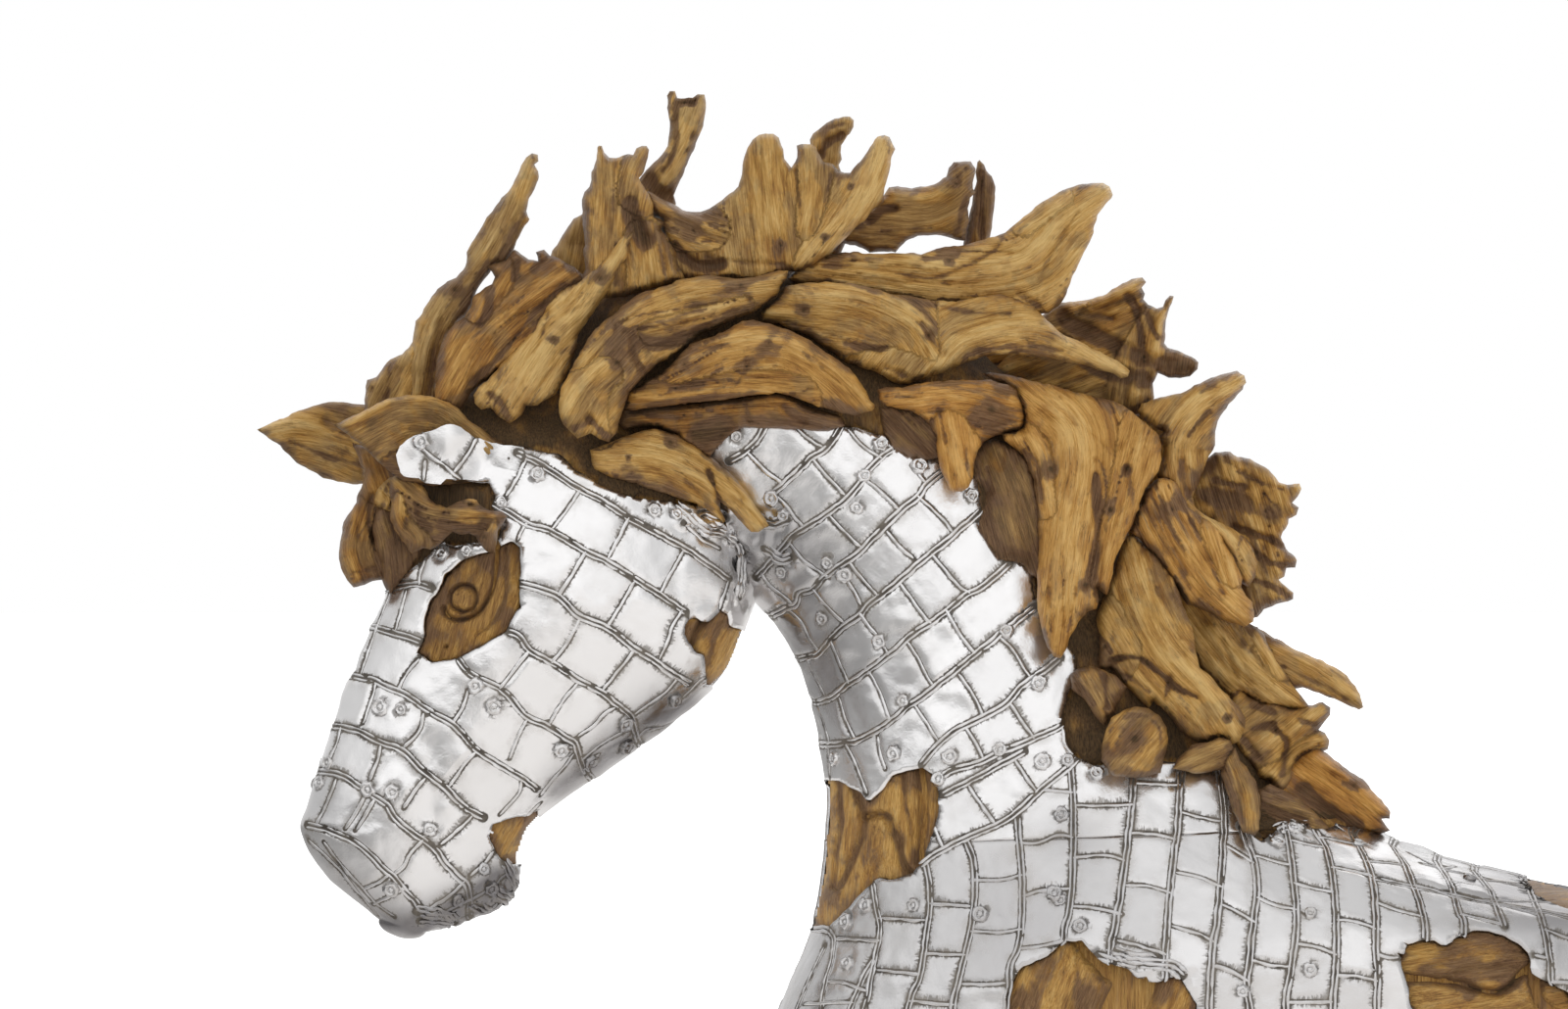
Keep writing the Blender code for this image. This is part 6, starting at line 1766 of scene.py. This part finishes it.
def pointNormals(points, faces):
    across = crossesOf(points, faces)
    total = np.zeros_like(points)
    for k in range(3):
        for axis in range(3):
            total[:, axis] += np.bincount(faces[:, k], across[:, axis], len(points))
    return unit(total)


lookOut = [Vector(v).normalized() for v in (
    (0, -1, 0.25), (0.7, -0.6, 0.5), (-0.7, -0.6, 0.5), (0, 0.1, 1), (0.6, 0.7, 0.3), (-0.6, 0.7, 0.3),
    (0.3, -0.7, -0.6))]
lookFrom, lookFar, lookLost = 3.0, 80, 95


def shutIn(points, normals, around):
    # how shut in each point is by what stands round it
    found = np.zeros(len(points))
    for k, (point, normal) in enumerate(zip(points.tolist(), normals.tolist())):
        normal = Vector(normal)
        start = Vector(point) + normal * lookFrom
        total, closed = 1e-3, 0.0
        for look in lookOut:
            if look.dot(normal) < -0.3:
                continue
            way = (look * 0.75 + normal).normalized()
            weight = max(way.dot(normal), 0.1)
            total += weight
            gap = around.ray_cast(start, way, lookFar)[3]
            if gap is not None:
                closed += weight * (1 - gap / lookLost)
        found[k] = closed / total
    return found


bodies = [rootBody(name, form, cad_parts[name], -1, (0, 0), seed)
          for seed, (name, form) in enumerate(rootForms.items())]
bodies += [rootBody(name + "_right", rootForms[name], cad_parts[name + "_right"], 1, shift, seed + 60)
           for seed, (name, shift) in enumerate(rightShifts.items())]
print("roots shaped")
allAround = treeOf([grid[::4, ::3] for grid in (headGrid, neckGrid, trunkGrid)],
                   *((points, faces) for name, points, faces, facts in bodies))
# painted shade: darker where a root is shut in by the skin and the other roots, in its grooves and cracks and
# where it lies low; the stain takes some of it too
for name, points, faces, facts in bodies:
    shade = eased(shutIn(points, pointNormals(points, faces), allAround), 0.50, 1.0)
    hollow = np.clip(np.maximum(facts["dark"], shade * 0.85) + 0.15 * eased(-facts["lift"], 2, 6), 0, 1)
    piece = meshPiece(name + "Wood", points, faces, "root_wood", rootWood, grain=facts["grain"],
                      tint=facts["tint"], hollow=hollow, ruddy=facts["ruddy"],
                      stained=facts["stained"] + 0.4 * shade)
    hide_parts(name)


# the room: a pale floor that glows, soft light and the camera

studio = {
    "eye": 9.0, "aim": (-0.45, 0.0, 0.605), "frameWidth": 1.6, "sensor": 36, "far": 100,
    "ambient": 0.74,
    # towards (x, y, z), reach in cosines from none to full, brightness added
    "glows": (((0.0, -1.0, 0.08), 0.62, 0.97, 0.13), ((0.0, 1.0, 0.12), 0.60, 0.95, 0.06),
              ((1.0, -0.1, -0.1), 0.60, 0.95, -0.20), ((-1.0, 0.2, -0.1), 0.60, 0.95, -0.12),
              ((-0.62, -0.78, 0.12), 0.80, 0.97, 0.05),
              ((0.72, -0.66, 0.2), 0.93, 0.99, -0.16), ((-0.75, -0.6, -0.3), 0.90, 0.99, -0.2)),
    # how bright the floor glows for all but the camera, from left to right
    "floor": (-1.5, -0.7, 0.2, 0.72), "pale": (0.8, 0.8, 0.8), "rings": (0.02, 1.5, 6, 40), "sides": 64,
    # soft lights: place, aim, size, power
    "lights": {"key": ((-1.6, -3.0, 2.9), (-0.5, 0, 0.6), 6.0, 17),
               "fill": ((2.6, -3.4, 1.6), (0, 0, 0.4), 4.5, 8),
               "rear": ((0.8, 3.2, 2.8), (-0.2, 0, 0.5), 3.0, 22)},
}


def placed(name, data, place, turn):
    thing = bpy.data.objects.new(name, data)
    thing.location, thing.rotation_euler = place, turn
    bpy.context.scene.collection.objects.link(thing)
    return thing


cameraData = bpy.data.cameras.new("camera")
cameraData.sensor_width = studio["sensor"]
cameraData.lens = studio["sensor"] * studio["eye"] / studio["frameWidth"]
cameraData.clip_end = studio["far"]
bpy.context.scene.camera = placed("camera", cameraData, (studio["aim"][0], -studio["eye"], studio["aim"][2]),
                                  (math.pi / 2, 0, 0))


def paleFloor():
    made = Finish("paleFloor")
    # the camera sees the floor pale; to all else it is dark and gives a painted glow, brighter to the right
    straight = made.add("ShaderNodeLightPath")
    apart = made.add("ShaderNodeSeparateXYZ", None, {0: made.add("ShaderNodeNewGeometry")})
    left, right, low, high = studio["floor"]
    back = made.blend(apart.between(left, right), (low, low, low), (high, high * 0.98, high * 0.96))
    made.give(Base_Color=made.blend(straight, (0.16, 0.155, 0.15), studio["pale"]), Roughness=0.9,
              Emission_Color=made.blend(straight, back, studio["pale"]))
    made.shader.inputs["Emission Strength"].default_value = 1.0
    made.shader.inputs["Specular IOR Level"].default_value = 0.1
    sides = studio["sides"]
    points = [(reach * math.cos(2 * k * math.pi / sides), reach * math.sin(2 * k * math.pi / sides), 0.0)
              for reach in studio["rings"] for k in range(sides)]
    faces = [(r * sides + sides + k, r * sides + sides + (k + 1) % sides, r * sides + (k + 1) % sides,
              r * sides + k) for r in range(len(studio["rings"]) - 1) for k in range(sides)]
    mesh = bpy.data.meshes.new("floor")
    mesh.from_pydata(points, [], faces)
    mesh.materials.append(made.material)
    placed("floor", mesh, (0, 0, 0), (0, 0, 0))


def roomLight():
    world = bpy.data.worlds.new("room")
    bpy.context.scene.world = world
    world.use_nodes = True
    made = Maker(world.node_tree)
    way = made.add("ShaderNodeTexCoord")
    light = None
    for toward, none, full, strength in studio["glows"]:
        glow = made.vectorMaths("DOT_PRODUCT", way, tuple(Vector(toward).normalized()), 1)
        glow = glow.between(none, full) * strength
        light = studio["ambient"] + glow if light is None else light + glow
    straight = made.add("ShaderNodeLightPath")
    shade = made.blend(light, (0.0, 0.0, 0.0), (1.0, 1.0, 1.0))
    made.set(world.node_tree.nodes["Background"].inputs["Color"],
             made.blend(straight, shade, (1.0, 1.0, 1.0)))


paleFloor()
roomLight()
for name, (place, aim, size, power) in studio["lights"].items():
    data = bpy.data.lights.new(name, "AREA")
    data.energy, data.size = power, size
    placed(name, data, place, (Vector(aim) - Vector(place)).to_track_quat("-Z", "Y").to_euler())
bpy.context.scene.view_settings.view_transform = "Standard"

print("done")
